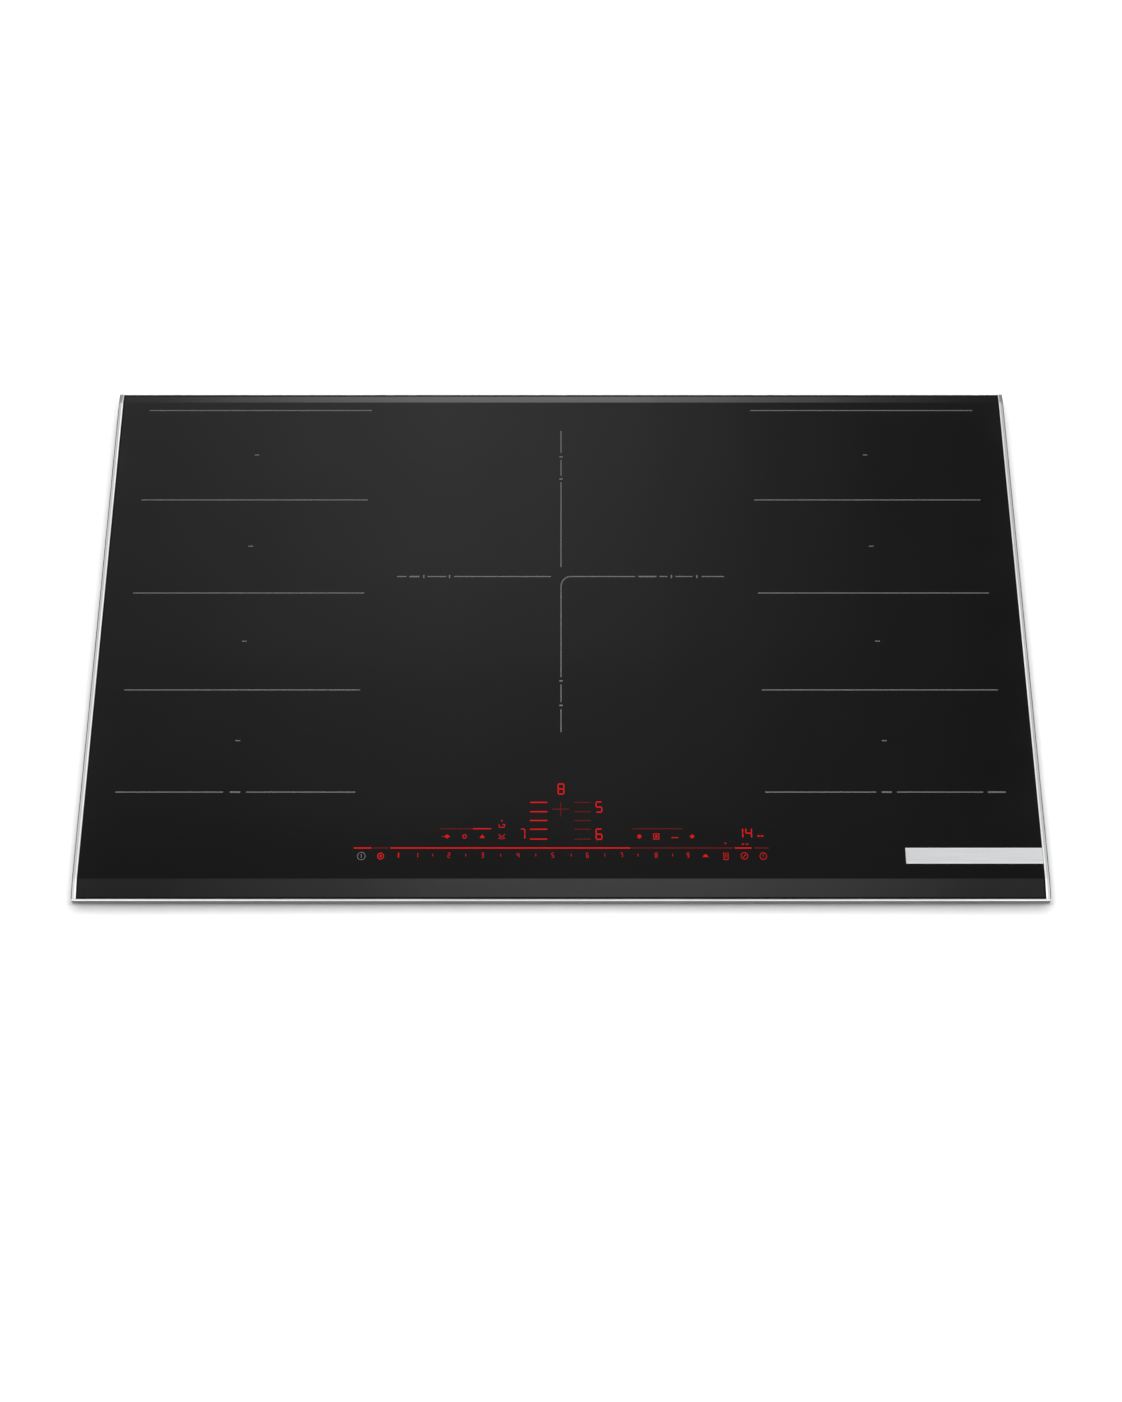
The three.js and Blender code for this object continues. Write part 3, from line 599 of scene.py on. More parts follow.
LINE = 1.0
HEAVY_LINE = 1.4
(COIL_INNER, COIL_FRONT, _), (COIL_OUTER, _, _) = node_box("flex_coil_right_1")
FLEX_INNER, FLEX_OUTER = COIL_INNER - 4.5, COIL_OUTER + 5.0
FLEX_FRONT = COIL_FRONT - 8.475
FLEX_REAR = node_box("flex_coil_right_4")[1][1] + 8.375
FLEX_PITCH = 100.5
FLEX_LINES = [FLEX_REAR - FLEX_PITCH * i for i in range(4)] + [FLEX_FRONT]
FLEX_DASH = (308.8, 313.4)
FLEX_FRONT_LINES = ((-424.5, -321.7), (-299.8, -196.0), (194.5, 300.2), (320.2, 402.1))
FLEX_FRONT_DASHES = ((-315.5, -305.5), (305.5, 315.0), (406.5, 423.5))


def flex_marks():
    """Lines between the segments of the side zones, with a dash in the middle of each segment."""
    for side, hand in SIDES:
        marks = Marks(f"flex_zone_print_{hand}", PRINT)
        for y in FLEX_LINES[:-1]:
            marks.bar(side * FLEX_INNER, side * FLEX_OUTER, y, LINE)
        for y, next_y in zip(FLEX_LINES, FLEX_LINES[1:]):
            marks.bar(side * FLEX_DASH[0], side * FLEX_DASH[1], (y + next_y) / 2 - 0.2, LINE)
        marks.done()
    marks = Marks("flex_zone_print_front", PRINT)
    marks.bars(FLEX_FRONT_LINES, FLEX_FRONT, LINE)
    marks.bars(FLEX_FRONT_DASHES, FLEX_FRONT, HEAVY_LINE)
    marks.done()


# Reaches of the marks of the round zone from its centre, along each arm; the centre lies at x = 0
CENTRE_Y = node_centre("centre_coil_outer")[1] + 1.0
REAR_ARM = ((160.1, 135.2), (127.6, 109.6), (102.6, 10.2))
FRONT_ARM = ((-112.4, -130.2), (-137.4, -160.4))
LEFT_ARM = ((-163.4, -154.0), (-133.0, -114.0), (-106.5, -10.0))
RIGHT_ARM = ((98.0, 106.0), (114.0, 131.0), (140.0, 162.4))
SIDE_DASHES = ((-151.0, -141.0), (77.0, 95.0))
BEND = 9.8
BEND_DEPTH = 10.7
TICKS_ALONG = (130.9, 106.2, -108.8, -133.7)
TICKS_ACROSS = (-136.7, -111.1, 110.1, 135.3)
TICK_REACH = 1.6


def centre_marks():
    """The cross of the round zone, whose front and right arms join in a bend, and ticks for the pan sizes."""
    marks = Marks("centre_zone_print", PRINT)
    for near, far in REAR_ARM + FRONT_ARM:
        marks.stem(0.0, CENTRE_Y + near, CENTRE_Y + far, LINE)
    bend = arc(BEND, CENTRE_Y - BEND_DEPTH, BEND, 90, 180, 10, BEND_DEPTH)
    marks.line([(74.0, CENTRE_Y)] + bend + [(0.0, CENTRE_Y - 105.2)], LINE)
    marks.bars(LEFT_ARM + RIGHT_ARM, CENTRE_Y, LINE)
    marks.bars(SIDE_DASHES, CENTRE_Y, HEAVY_LINE)
    marks.done()
    ticks = Marks("centre_zone_ticks", PRINT)
    for y in TICKS_ALONG:
        ticks.bar(-TICK_REACH, TICK_REACH, CENTRE_Y + y, 1.5)
    for x in TICKS_ACROSS:
        ticks.stem(x, CENTRE_Y - TICK_REACH, CENTRE_Y + TICK_REACH, 1.3)
    ticks.done()


# ---- lit display ----

SEGMENTS = {
    "1": "bc", "2": "abged", "3": "abgcd", "4": "fgbc", "5": "afgcd",
    "6": "afgedc", "7": "abc", "8": "abcdefg", "9": "abcdfg",
}
SLIDER_Y = node_box("touch_board")[0][1] + 22.6
ROW_Y = SLIDER_Y - 7.7
PROGRAMME_Y = SLIDER_Y + 11.0
TIMER_Y = SLIDER_Y + 18.4
SLIDER_LIT = ((-195.2, -178.6), (-160.7, 65.3), (163.6, 179.4))
SLIDER_DIM = ((-177.4, -162.6), (66.3, 161.7), (182.1, 195.7))
LEVEL_ROWS = (-168.6, -177.6, -186.1, -194.5, -203.9)
SCALE_X = (-135.6, -105.5, -73.8, -40.4, -7.8, 24.9, 56.9, 89.5, 119.4)
TICK_X = (-120.6, -89.6, -56.6, -23.7, 9.6, 41.1, 72.4, 105.0)
# character, centre x, centre y, width, height, stroke
FIGURES = (
    ("8", 0.0, -155.6, 6.4, 10.8, 0.95),
    ("5", 36.0, -173.1, 6.3, 10.8, 0.95),
    ("6", 35.9, -199.2, 6.4, 10.8, 0.95),
    ("7", -36.2, -199.0, 4.8, 10.2, 0.8),
    ("1", 169.4, -198.2, 5.4, 9.8, 0.95),
    ("4", 177.3, -198.2, 6.2, 9.8, 0.95),
)


def digit(marks, character, cx, cy, width, height, stroke):
    """One figure made of seven bars with small gaps between them."""
    half = stroke / 2
    x, y, gap = width / 2 - half, height / 2 - half, stroke * 0.12
    levels = {"a": y, "g": 0.0, "d": -y}
    for name in SEGMENTS[character]:
        lying = name in levels
        if lying:
            low, high, off = -x + gap, x - gap, levels[name]
        else:
            low, high = (gap, y - gap) if name in "bf" else (-y + gap, -gap)
            off = x if name in "bc" else -x
        bar = [(low, off), (low + half, off - half), (high - half, off - half),
               (high, off), (high - half, off + half), (low + half, off + half)]
        marks.shape([(cx + u, cy + v) if lying else (cx + v, cy + u) for u, v in bar])


def bright_display():
    red = Marks("display_bright", RED)
    red.bars(SLIDER_LIT, SLIDER_Y, 1.0)
    for y in LEVEL_ROWS:
        red.bar(-29.3, -13.1, y, 0.95)
    red.bar(-83.3, -66.1, TIMER_Y, 0.85)
    for figure in FIGURES:
        digit(red, *figure)
    red.done()


def dim_display():
    dim = Marks("display_dim", RED_DIM)
    dim.bars(SLIDER_DIM, SLIDER_Y, 0.95)
    for y in LEVEL_ROWS:
        dim.bar(12.6, 27.9, y, 0.8)
    dim.bars(((-114.3, -83.9), (67.7, 114.4)), TIMER_Y, 0.8)
    # a small cross between the two rows of level bars
    cx, cy, wide, deep, thin = -0.3, -175.1, 8.0, 7.0, 0.4
    quarter = [(-wide, -thin), (-thin, -thin), (-thin, -deep)]
    half = quarter + [(-x, y) for x, y in reversed(quarter)]
    dim.shape([(cx + x, cy + y) for x, y in half + [(-x, -y) for x, y in half]])
    dim.done()


def power_scale(icons):
    """The figures along the slider, with a tick between each two."""
    icons.stem(-152.8, ROW_Y + 3.2, ROW_Y - 1.4, 1.2)
    for number, x in enumerate(SCALE_X, 1):
        digit(icons, str(number), x, ROW_Y + 0.9, 2.5, 5.0, 0.62)
    for x in TICK_X:
        icons.stem(x, ROW_Y - 0.3, ROW_Y + 2.2, 0.5)


def slider_icons(icons):
    """Heat dial, cover, pot, struck-out ring and clock in the slider's row, with the dots above them."""
    dial, cover, pot, ring, clock = -169.6, 135.9, 155.1, 172.5, 190.2
    icons.ring(dial, ROW_Y, 2.75, 0.9)
    icons.dot(dial, ROW_Y, 1.15, 12)
    base = [(cover - 2.9, ROW_Y - 0.9), (cover + 2.9, ROW_Y - 0.9)]
    icons.shape(base + arc(cover, ROW_Y - 0.6, 2.2, 10, 170, 8))
    low, high = ROW_Y - 3.3, ROW_Y + 3.5
    icons.line([(pot - 2, high), (pot - 2, low), (pot + 2, low), (pot + 2, high)], 0.6)
    icons.stem(pot, ROW_Y - 1.4, ROW_Y + 3.2, 0.6)
    icons.ring(ring, ROW_Y + 0.2, 3.15, 0.55)
    icons.line([(ring - 1.3, ROW_Y - 1.1), (ring + 1.4, ROW_Y + 1.5)], 0.7)
    icons.ring(clock, ROW_Y, 3.15, 0.55)
    icons.stem(clock, ROW_Y - 0.6, ROW_Y + 1.8, 0.6)
    icons.dot(pot - 0.2, SLIDER_Y + 4.5, 0.75, 10)
    icons.bars(((170.4, 172.6), (174.2, 176.4)), SLIDER_Y + 3.6, 0.85)
    icons.bars(((185.4, 187.6), (188.4, 191.0)), SLIDER_Y + 11.4, 1.3)


def left_programme_icons(icons):
    """Programme symbols above the left half of the slider."""
    level, keep, ring, up, wave = PROGRAMME_Y, -107.5, -91.0, -74.3, -56.0
    icons.shape([(keep - 2.9, level), (keep, level - 1.9), (keep + 2.7, level), (keep, level + 1.9)])
    icons.bar(keep - 4.9, keep - 3.1, level, 0.4)
    icons.ring(ring, level, 1.7, 0.75, 20)
    icons.shape([(up - 2.6, level - 1.4), (up + 2.5, level - 1.4), (up, level + 1.9)])
    for outer, inner in ((wave - 2.9, wave - 0.5), (wave + 3.1, wave + 0.7)):
        icons.line([(outer, level + 2.1), (inner, level), (outer, level - 2.1)], 0.6)
    icons.bar(wave - 1.4, wave + 1.6, level - 2.2, 0.5)
    bowl = ((-2.7, 11.5), (-2.2, 8.8), (2.2, 8.8), (2.7, 11.5), (0.6, 11.5))
    icons.line([(wave + x, level + y) for x, y in bowl], 0.7)
    icons.dot(wave, level + 15.1, 0.7, 10)


def right_programme_icons(icons):
    """Programme symbols above the right half of the slider."""
    level, dot, frame_x, dash, diamond = PROGRAMME_Y, 73.9, 89.9, 107.4, 123.8
    icons.dot(dot, level, 1.9, 16)
    corners = ((-2.5, 2.5), (2.5, 2.5), (2.5, -2.5), (-2.5, -2.5))
    icons.line([(frame_x + x, level + y) for x, y in corners], 0.75, True)
    icons.shape(box_outline(frame_x - 1.0, frame_x + 1.0, level - 1.1, level + 1.1))
    icons.bar(dash - 3.3, dash + 3.3, level - 1.1, 0.8)
    icons.shape(arc(diamond, level, 2.3, 180, 450, 3, 2.1))


def power_symbol():
    x = -187.7
    power = Marks("power_symbol", PRINT)
    power.ring(x, ROW_Y, 3.6, 0.6)
    power.stem(x, ROW_Y - 1.8, ROW_Y + 1.8, 0.7)
    power.done()


def display():
    bright_display()
    dim_display()
    icons = Marks("display_icons", RED_SMALL)
    power_scale(icons)
    slider_icons(icons)
    left_programme_icons(icons)
    right_programme_icons(icons)
    icons.done()
    power_symbol()


# ---- casing ----

SHEET = 1.0
BEAD_HALF = 5.0
FLOOR_SCREWS = [(sx * (CASING_X - 19), y) for sx in (-1, 1) for y in (-222, -80, 60, 222)]
FLOOR_SCREWS += [(sx * 140, y) for sx in (-1, 1) for y in (-222, 228)]


def cut_away(target, name, bm):
    """Subtracts a working solid from target for good."""
    bmesh.ops.recalc_face_normals(bm, faces=bm.faces)
    cutter = new_object(name, bm)
    step = target.modifiers.new("cut", "BOOLEAN")
    step.operation, step.solver, step.object = "DIFFERENCE", "EXACT", cutter
    bpy.context.view_layer.update()
    depsgraph = bpy.context.evaluated_depsgraph_get()
    mesh = bpy.data.meshes.new_from_object(target.evaluated_get(depsgraph))
    target.modifiers.clear()
    old, target.data = target.data, mesh
    bpy.data.meshes.remove(old)
    bpy.data.objects.remove(cutter)


def floor_bead(bm, x0, x1, y):
    """The hollow of one stiffening bead in the floor, with round ends and sloping sides."""
    depth, slope = 0.55, 1.2
    rings = []
    for z, half in ((-0.5, BEAD_HALF), (depth, BEAD_HALF - slope)):
        outline = arc(x1 - BEAD_HALF, y, half, -90, 90, 8) + arc(x0 + BEAD_HALF, y, half, 90, 270, 8)
        rings.append(level(outline, z))
    loft(bm, rings)


def floor_beads(bm):
    for y in range(-205, 41, 35):
        floor_bead(bm, -395, -30, y)
        floor_bead(bm, 30, 395, y)
    for y in (80, 115, 150, 185, 215):
        floor_bead(bm, -190, 190, y)
    for y in (100, 150, 200):
        floor_bead(bm, -410, -345, y)
        floor_bead(bm, 345, 410, y)


def casing_openings(bm):
    """Exhaust slots in the front wall, the two fan intakes, the terminal window and the cable hole."""
    for side, hand in SIDES:
        for i in range(12):
            slot = rounded_outline(1.75, 11.0, 1.6, 4, side * (172 + 13 * i), 21.0)
            hole_along_y(bm, slot, -CASING_Y - 2, -CASING_Y + 3)
        fan_x, fan_y, _ = node_centre(f"fan_grille_{hand}")
        prism(bm, circle(fan_x, fan_y, 42.0, 72), -1, 3)
    window = rounded_outline(28.0, 13.0, 1.5, 4, node_centre("terminal_flap")[0], 16.5)
    hole_along_y(bm, window, CASING_Y - 4, CASING_Y + 2)
    gland_x, _, gland_z = node_centre("cable_gland")
    hole_along_y(bm, circle(gland_x, gland_z, 8.0, 40), CASING_Y - 4, CASING_Y + 2)


def casing():
    """A pressed tray with rounded floor edges, stiffening beads and all its openings."""
    outer, inner = 2.0, 1.0
    levels = []
    for i in range(6):
        a = math.radians(18 * i)
        inset = outer * (1 - math.sin(a))
        levels.append((inset, outer * (1 - math.cos(a)), 4.0 - inset * 0.5))
    levels += [(0.0, CASING_TOP, 4.0), (SHEET, CASING_TOP, 3.0)]
    levels += [(SHEET, SHEET + inner, 3.0), (SHEET + inner, SHEET, 2.5)]
    bm = lofted([level(rounded_outline(CASING_X - inset, CASING_Y - inset, r), z) for inset, z, r in levels])
    shell = piece("casing_pressed", bm, "galvanised", GALVANISED, smooth=0)
    holes = bmesh.new()
    casing_openings(holes)
    floor_beads(holes)
    for x, y in FLOOR_SCREWS:
        loft(holes, [level(circle(x, y, 3.9), -0.4), level(circle(x, y, 2.6), 0.75)])
    cut_away(shell, "casing_holes", holes)
    smooth_below(shell, 22)
    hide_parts("casing_tray")


# How a screw that stands on z turns to face along each direction
TURNS = {
    "-y": lambda u, v, w: (u, -w, v),
    "+y": lambda u, v, w: (-u, w, v),
    "-x": lambda u, v, w: (-w, -u, v),
    "+x": lambda u, v, w: (w, u, v),
    "-z": lambda u, v, w: (u, -v, -w),
}


def cross_screw(bm, place, radius, height, facing):
    """A domed head with a cross recess, standing on a plane and facing away from it."""
    steps, arm, web = 24, radius * 0.42, radius * 0.192
    dome = ((1.0, 0.0), (1.0, 0.35), (0.86, 0.75), (0.55, 1.0))
    rings = [level(circle(0.0, 0.0, radius * wide, steps), height * high) for wide, high in dome]
    cross = []
    for i in range(steps):
        turn = 360 * i / steps
        on_arm = abs((turn + 45) % 90 - 45) < 12
        r, a = arm if on_arm else web, math.radians(turn)
        cross.append((r * math.cos(a), r * math.sin(a)))
    rings.append(level(cross, height))
    rings.append([(x * 0.7, y * 0.7, height * 0.35) for x, y in cross])
    turned = TURNS[facing]
    loft(bm, [[tuple(a + b for a, b in zip(place, turned(*p))) for p in ring] for ring in rings])


def screws():
    """Screws into the carrier rails along the four walls, and flush screws in the floor."""
    wall_z, radius, height = CASING_TOP - 4.0, 3.2, 1.8
    bm = bmesh.new()
    for x in (-390, -130, 130, 390):
        cross_screw(bm, (x, -CASING_Y, wall_z), radius, height, "-y")
    for x in (-390, -130, 130, 305):
        cross_screw(bm, (x, CASING_Y, wall_z), radius, height, "+y")
    for side, facing in ((-1, "-x"), (1, "+x")):
        for y in (-210, -60, 60, 210):
            cross_screw(bm, (side * CASING_X, y, wall_z), radius, height, facing)
    for x, y in FLOOR_SCREWS:
        cross_screw(bm, (x, y, 0.7), 3.0, 0.65, "-z")
    piece("casing_screws", bm, "spring_steel", SCREW, smooth=35)


# ---- spring clips ----

CLIPS = [(side, hand, end) for side, hand in SIDES for end in ("front", "rear")]
CLIP_LOW, CLIP_HIGH = node_box("spring_clip_right_front")
CLIP_FOOT = CLIP_LOW[2]
CLIP_TOP = CLIP_FOOT + 34.0
CLIP_HALF = (CLIP_HIGH[1] - CLIP_LOW[1]) / 2
LEAF_HALF = 0.35
# Side view of a leaf: how far its middle stands out from the wall, and its height above the foot
BOW = [(0.9, 0.0), (0.9, 4.0), (0.92, 8.0), (1.9, 12.5), (3.3, 17.5), (4.5, 22.0), (5.15, 25.0),
       (5.25, 27.5), (5.0, 30.0), (4.5, 32.5), (4.1, 34.0)]


def clip_mounts():
    """Each leaf spring is held on the wall by two riveted straps."""
    strap, height = 1.1, CLIP_FOOT + 4.0
    bm = bmesh.new()
    for side, hand, end in CLIPS:
        facing = "+x" if side > 0 else "-x"
        clip_y = node_centre(f"spring_clip_{hand}_{end}")[1]
        for y in (clip_y - 22.5, clip_y + 22.5):
            outline = rounded_outline(3.8, 5.5, 1.2, 4, y, height)
            faces = (CASING_X + 0.02, CASING_X + strap)
            loft(bm, [[(side * x, py, pz) for py, pz in outline] for x in faces])
            cross_screw(bm, (side * (CASING_X + strap), y, height), 2.3, 1.1, facing)
    piece("clip_straps", bm, "spring_steel", SPRING, smooth=35)


def leaf_path():
    """The bow with two points added to each span, eased into one curve."""
    bow = [Vector(point) for point in BOW]
    path = [a.lerp(b, t / 3) for a, b in zip(bow, bow[1:]) for t in range(3)] + [bow[-1]]
    for _ in range(4):
        eased = [(a + 2 * b + c) / 4 for a, b, c in zip(path, path[1:], path[2:])]
        path = [path[0]] + eased + [path[-1]]
    return [(out, CLIP_FOOT + rise) for out, rise in path]


def leaf_ring(side, clip_y, out, z):
    """One level of a leaf, outer face first, with a pressed rib down the middle."""
    half = CLIP_HALF - 4.5 * max(0.0, (z - CLIP_FOOT - 8.0) / 26.0)
    across = [half * (k / 4 - 1) for k in range(9)]
    fade = min(1.0, max(0.0, (z - CLIP_FOOT - 2) / 6), (CLIP_TOP - z) / 6 + 0.01)
    ring = []
    for face, run in ((LEAF_HALF, across), (-LEAF_HALF, across[::-1])):
        for y in run:
            rib = 0.35 * max(0.0, 1 - (y / 5.0) ** 2) * fade
            ring.append((side * (CASING_X + out + face - rib), clip_y + y, z))
    return ring


def spring_clips():
    """Each leaf bows outwards from its foot and has a turned-in top end."""
    for side, hand, end in CLIPS:
        clip_y = node_centre(f"spring_clip_{hand}_{end}")[1]
        bm = lofted([leaf_ring(side, clip_y, out, z) for out, z in leaf_path()])
        body = f"clip_{hand}_{end}"
        made = piece(f"clip_leaf_{hand}_{end}", bm, "spring_steel", SPRING, body=body, smooth=40)
        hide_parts(f"spring_clip_{hand}_{end}")


def cable_gland():
    """A round nut with grip flutes outside the wall, and a smooth bore for the cable."""
    steps, flutes = 96, 16
    cx, _, cz = node_centre("cable_gland")
    (_, inner_y, _), (_, outer_y, _) = node_box("cable_gland")
    profile = [(5.5, inner_y), (7.4, inner_y), (7.7, inner_y + 0.4), (7.7, CASING_Y + 0.2),
               (9.0, CASING_Y + 0.3), (9.0, outer_y - 1.1), (8.3, outer_y - 0.2), (6.6, outer_y),
               (5.7, outer_y - 0.4), (5.5, outer_y - 1.4)]
    rings = []
    for radius, y in profile:
        ring = []
        for i in range(steps):
            a = 2 * math.pi * i / steps
            flute = 0.45 * max(0.0, math.cos(a * flutes)) if radius > 8.0 else 0.0
            ring.append((cx + (radius - flute) * math.cos(a), y, cz + (radius - flute) * math.sin(a)))
        rings.append(ring)
    bm = lofted(rings + [rings[0]], caps=False)
    made = piece("cable_gland_nut", bm, "black_plastic", BLACK_PLASTIC, smooth=35)
    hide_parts("cable_gland")


# ---- windings and ferrites ----

TURN_PITCH = 3.4
FLEX_WIDTH = 32.0
FLEX_CORNER = 38.0
FLEX_ROWS = (1, 2, 3, 4)
CENTRE_BORES = {"inner": 22.0, "middle": 109.0, "outer": 135.0}
BAR_BOTTOM = node_box("coil_tray_centre")[0][2] + 1.55
BAR_TOP = BAR_BOTTOM + 2.9


def wound(name, node, run, width=None, bore=0.0):
    """Turns of stranded wire side by side; run gives the line of the wire at a depth from the rim."""
    (x0, y0, z0), (x1, y1, z1) = node_box(node)
    half_x, half_y = (x1 - x0) / 2, (y1 - y0) / 2
    width = width or half_x - bore
    turns = round(width / TURN_PITCH)
    levels = [(0.0, z0)]
    for turn in range(turns):
        for across, sag in ((0.02, 1.2), (0.22, 0.3), (0.5, 0.0), (0.78, 0.3), (0.98, 1.2)):
            levels.append(((turn + across) * width / turns, z1 - sag))
    levels.append((width, z0))
    cx, cy, _ = node_centre(node)
    rings = [level(run(cx, cy, half_x - inset, half_y - inset, inset), z) for inset, z in levels]
    bm = lofted(rings + [rings[0]], caps=False)
    made = piece(name, bm, "copper_litz", COPPER, smooth=50)
    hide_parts(node)


def oblong_run(cx, cy, half_x, half_y, inset):
    corner = max(FLEX_CORNER - inset * 0.89, 9.5)
    return rounded_outline(half_x, half_y, corner, 7, cx, cy)


def round_run(cx, cy, radius, *_):
    return circle(cx, cy, radius, 64)


def windings():
    for _, hand in SIDES:
        for row in FLEX_ROWS:
            wound(f"flex_winding_{hand}_{row}", f"flex_coil_{hand}_{row}", oblong_run, FLEX_WIDTH)
    for place, bore in CENTRE_BORES.items():
        wound(f"centre_winding_{place}", f"centre_coil_{place}", round_run, bore=bore)


def ferrite_bars():
    """Flat bars in the trays below the windings, which turn the field upwards."""
    bm = bmesh.new()
    for _, hand in SIDES:
        for row in FLEX_ROWS:
            cx, cy, _ = node_centre(f"flex_coil_{hand}_{row}")
            for dx in (-84.0, -50.0, 50.0, 84.0):
                prism(bm, rounded_outline(6.0, 34.0, 0.8, 2, cx + dx, cy), BAR_BOTTOM, BAR_TOP)
    cx, cy, _ = node_centre("centre_coil_outer")
    spoke = rounded_outline(62.0, 6.0, 0.8, 2, 86.0, 0.0)
    for i in range(8):
        turn = math.radians(45 * i + 22.5)
        cos, sin = math.cos(turn), math.sin(turn)
        prism(bm, [(cx + x * cos - y * sin, cy + x * sin + y * cos) for x, y in spoke], BAR_BOTTOM, BAR_TOP)
    piece("ferrite_bars", bm, "laminated_iron", IRON)


# ---- finish of the CAD pieces ----

# A word in the node's name: its material and the width of its worn edges
CAD_FINISH = {
    "carrier_rail": (GALVANISED, 0.15),
    "seal_": (FOAM, 0.3),
    "fan_grille": (BLACK_PLASTIC, 0.25),
    "fan_housing": (BLACK_PLASTIC, 0.3),
    "fan_stator": (IRON, 0.2),
    "fan_impeller": (GREY_PLASTIC, 0.1),
    "heatsink": (ALUMINIUM, 0.15),
    "insulation_sheet": (MICA, 0.1),
    "filter_choke": (COPPER, 1.5),
    "_coil_": (COPPER, 0.5),
    "coil_plate": (ALUMINIUM, 0.1),
    "coil_tray": (BLACK_PLASTIC, 0.2),
    "heat_mat": (FIBRE, 0.4),
    "touch_board": (BOARD, 0.1),
    "_board": (BOARD, 0.2),
    "display_frame": (BLACK_PLASTIC, 0.3),
    "terminal_block": (GREY_PLASTIC, 0.3),
    "terminal_": (BLACK_PLASTIC, 0.25),
}
OTHER_FINISH = (GALVANISED, 0.2)


def finish_cad_nodes():
    """Gives each node its material, and each shown node small rounded edges."""
    for name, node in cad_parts.items():
        found = (finish for word, finish in CAD_FINISH.items() if word in name)
        material, width = next(found, OTHER_FINISH)
        node.data.materials.clear()
        node.data.materials.append(material)
        for face in node.data.polygons:
            face.material_index = 0
        if node.hide_render:
            continue
        weld = node.modifiers.new("weld", "WELD")
        weld.merge_threshold = 1e-6
        plain = node.modifiers.new("plain", "DECIMATE")
        plain.decimate_type, plain.angle_limit = "DISSOLVE", math.radians(1.0)
        edge = node.modifiers.new("edge", "BEVEL")
        edge.width, edge.segments, edge.angle_limit = width * MM, 2, math.radians(35)
        edge.limit_method = "ANGLE"


# ---- studio, in metres ----

AMBIENT = 0.26
FLOOR_RADIUS = 7.0
LAMP_PLACE = (0.0, -0.27, 1.42)
LAMP_SIZE, LAMP_POWER = 0.6, 24.5
CAMERA_PLACE = (0.0, -0.4479, 1.3504)
CAMERA_TILT, CAMERA_LENS = 16.282, 35.828


def stage_mesh(name, rings, material):
    made = new_object(name, lofted(rings, caps=False), 1.0)
    made.data.materials.append(material)
    return made


def vector(made, operation, source, other=(0.0, 0.0, 0.0), output="Vector"):
    node = made.node("ShaderNodeVectorMath", {1: other}, operation=operation)
    made.link(source, node.inputs[0])
    return node.outputs[output]


def floor_glow(white):
    """The floor glows a little more away from the lamp, so that it stays evenly bright."""
    under_lamp = (0.0, LAMP_PLACE[1], 0.0)
    away = vector(white, "DISTANCE", white.coordinates(), under_lamp, "Value")
    stops = [(0.0, 0.0), (0.4, 0.02), (0.55, 0.09), (0.7, 0.18), (1.0, 0.36), (1.3, 0.46), (2.0, 0.66)]
    glow = white.ramp(away, stops + [(4.0, 0.85)], 0.0, 4.0, "LINEAR")
    white.link(glow, white.shader.inputs["Emission Strength"])


def floor_shade(white):
    """Painted shadow: the floor's colour is a little darker close under the rim of the object."""
    squeeze = 0.4
    edge = (squeeze * (cad_high.x + 0.013), cad_high.y - 0.006, 0.0)
    reach = vector(white, "ABSOLUTE", white.coordinates((squeeze, 1.0, 1.0)))
    beyond = vector(white, "MAXIMUM", vector(white, "SUBTRACT", reach, edge))
    away = vector(white, "LENGTH", beyond, output="Value")
    stops = [(0.0, 0.25), (0.0012, 0.64), (0.0018, 0.72), (0.0024, 0.80), (0.0035, 0.86)]
    dark = white.ramp(away, stops, 0.0, 0.005, "LINEAR")
    white.link(dark, white.shader.inputs["Base Color"])


def floor():
    """A pale floor, open under the casing, so that the underside can be seen from below."""
    white = Surface("studio_floor", (0.86, 0.86, 0.86), 1.0, specular=0.0)
    white.glow((1.0, 1.0, 1.0), 0.0)
    floor_glow(white)
    floor_shade(white)
    margin = 6.0
    opening = rounded_outline((CASING_X - margin) * MM, (CASING_Y - margin) * MM, 0.002, 23)
    rings = [level(opening, 0.0)]
    for r, z in ((2.0, 0.0), (FLOOR_RADIUS, 0.0), (FLOOR_RADIUS, -0.05)):
        rings.append(level(rounded_outline(r, r, r, 23), z))
    stage_mesh("studio_floor", rings, white.material)


def surround():
    """A white wall and ceiling that only the camera sees."""
    lamp = Surface("studio_surround", (0.0, 0.0, 0.0), 1.0, specular=0.0)
    lamp.glow((1.0, 1.0, 1.0), 1.1)
    profile = ((FLOOR_RADIUS - 0.05, -0.02), (FLOOR_RADIUS, 6.0), (0.5, 9.0))
    wall = stage_mesh("studio_surround", [level(circle(0, 0, r, 96), z) for r, z in profile], lamp.material)
    wall.visible_diffuse = wall.visible_glossy = wall.visible_shadow = wall.visible_transmission = False


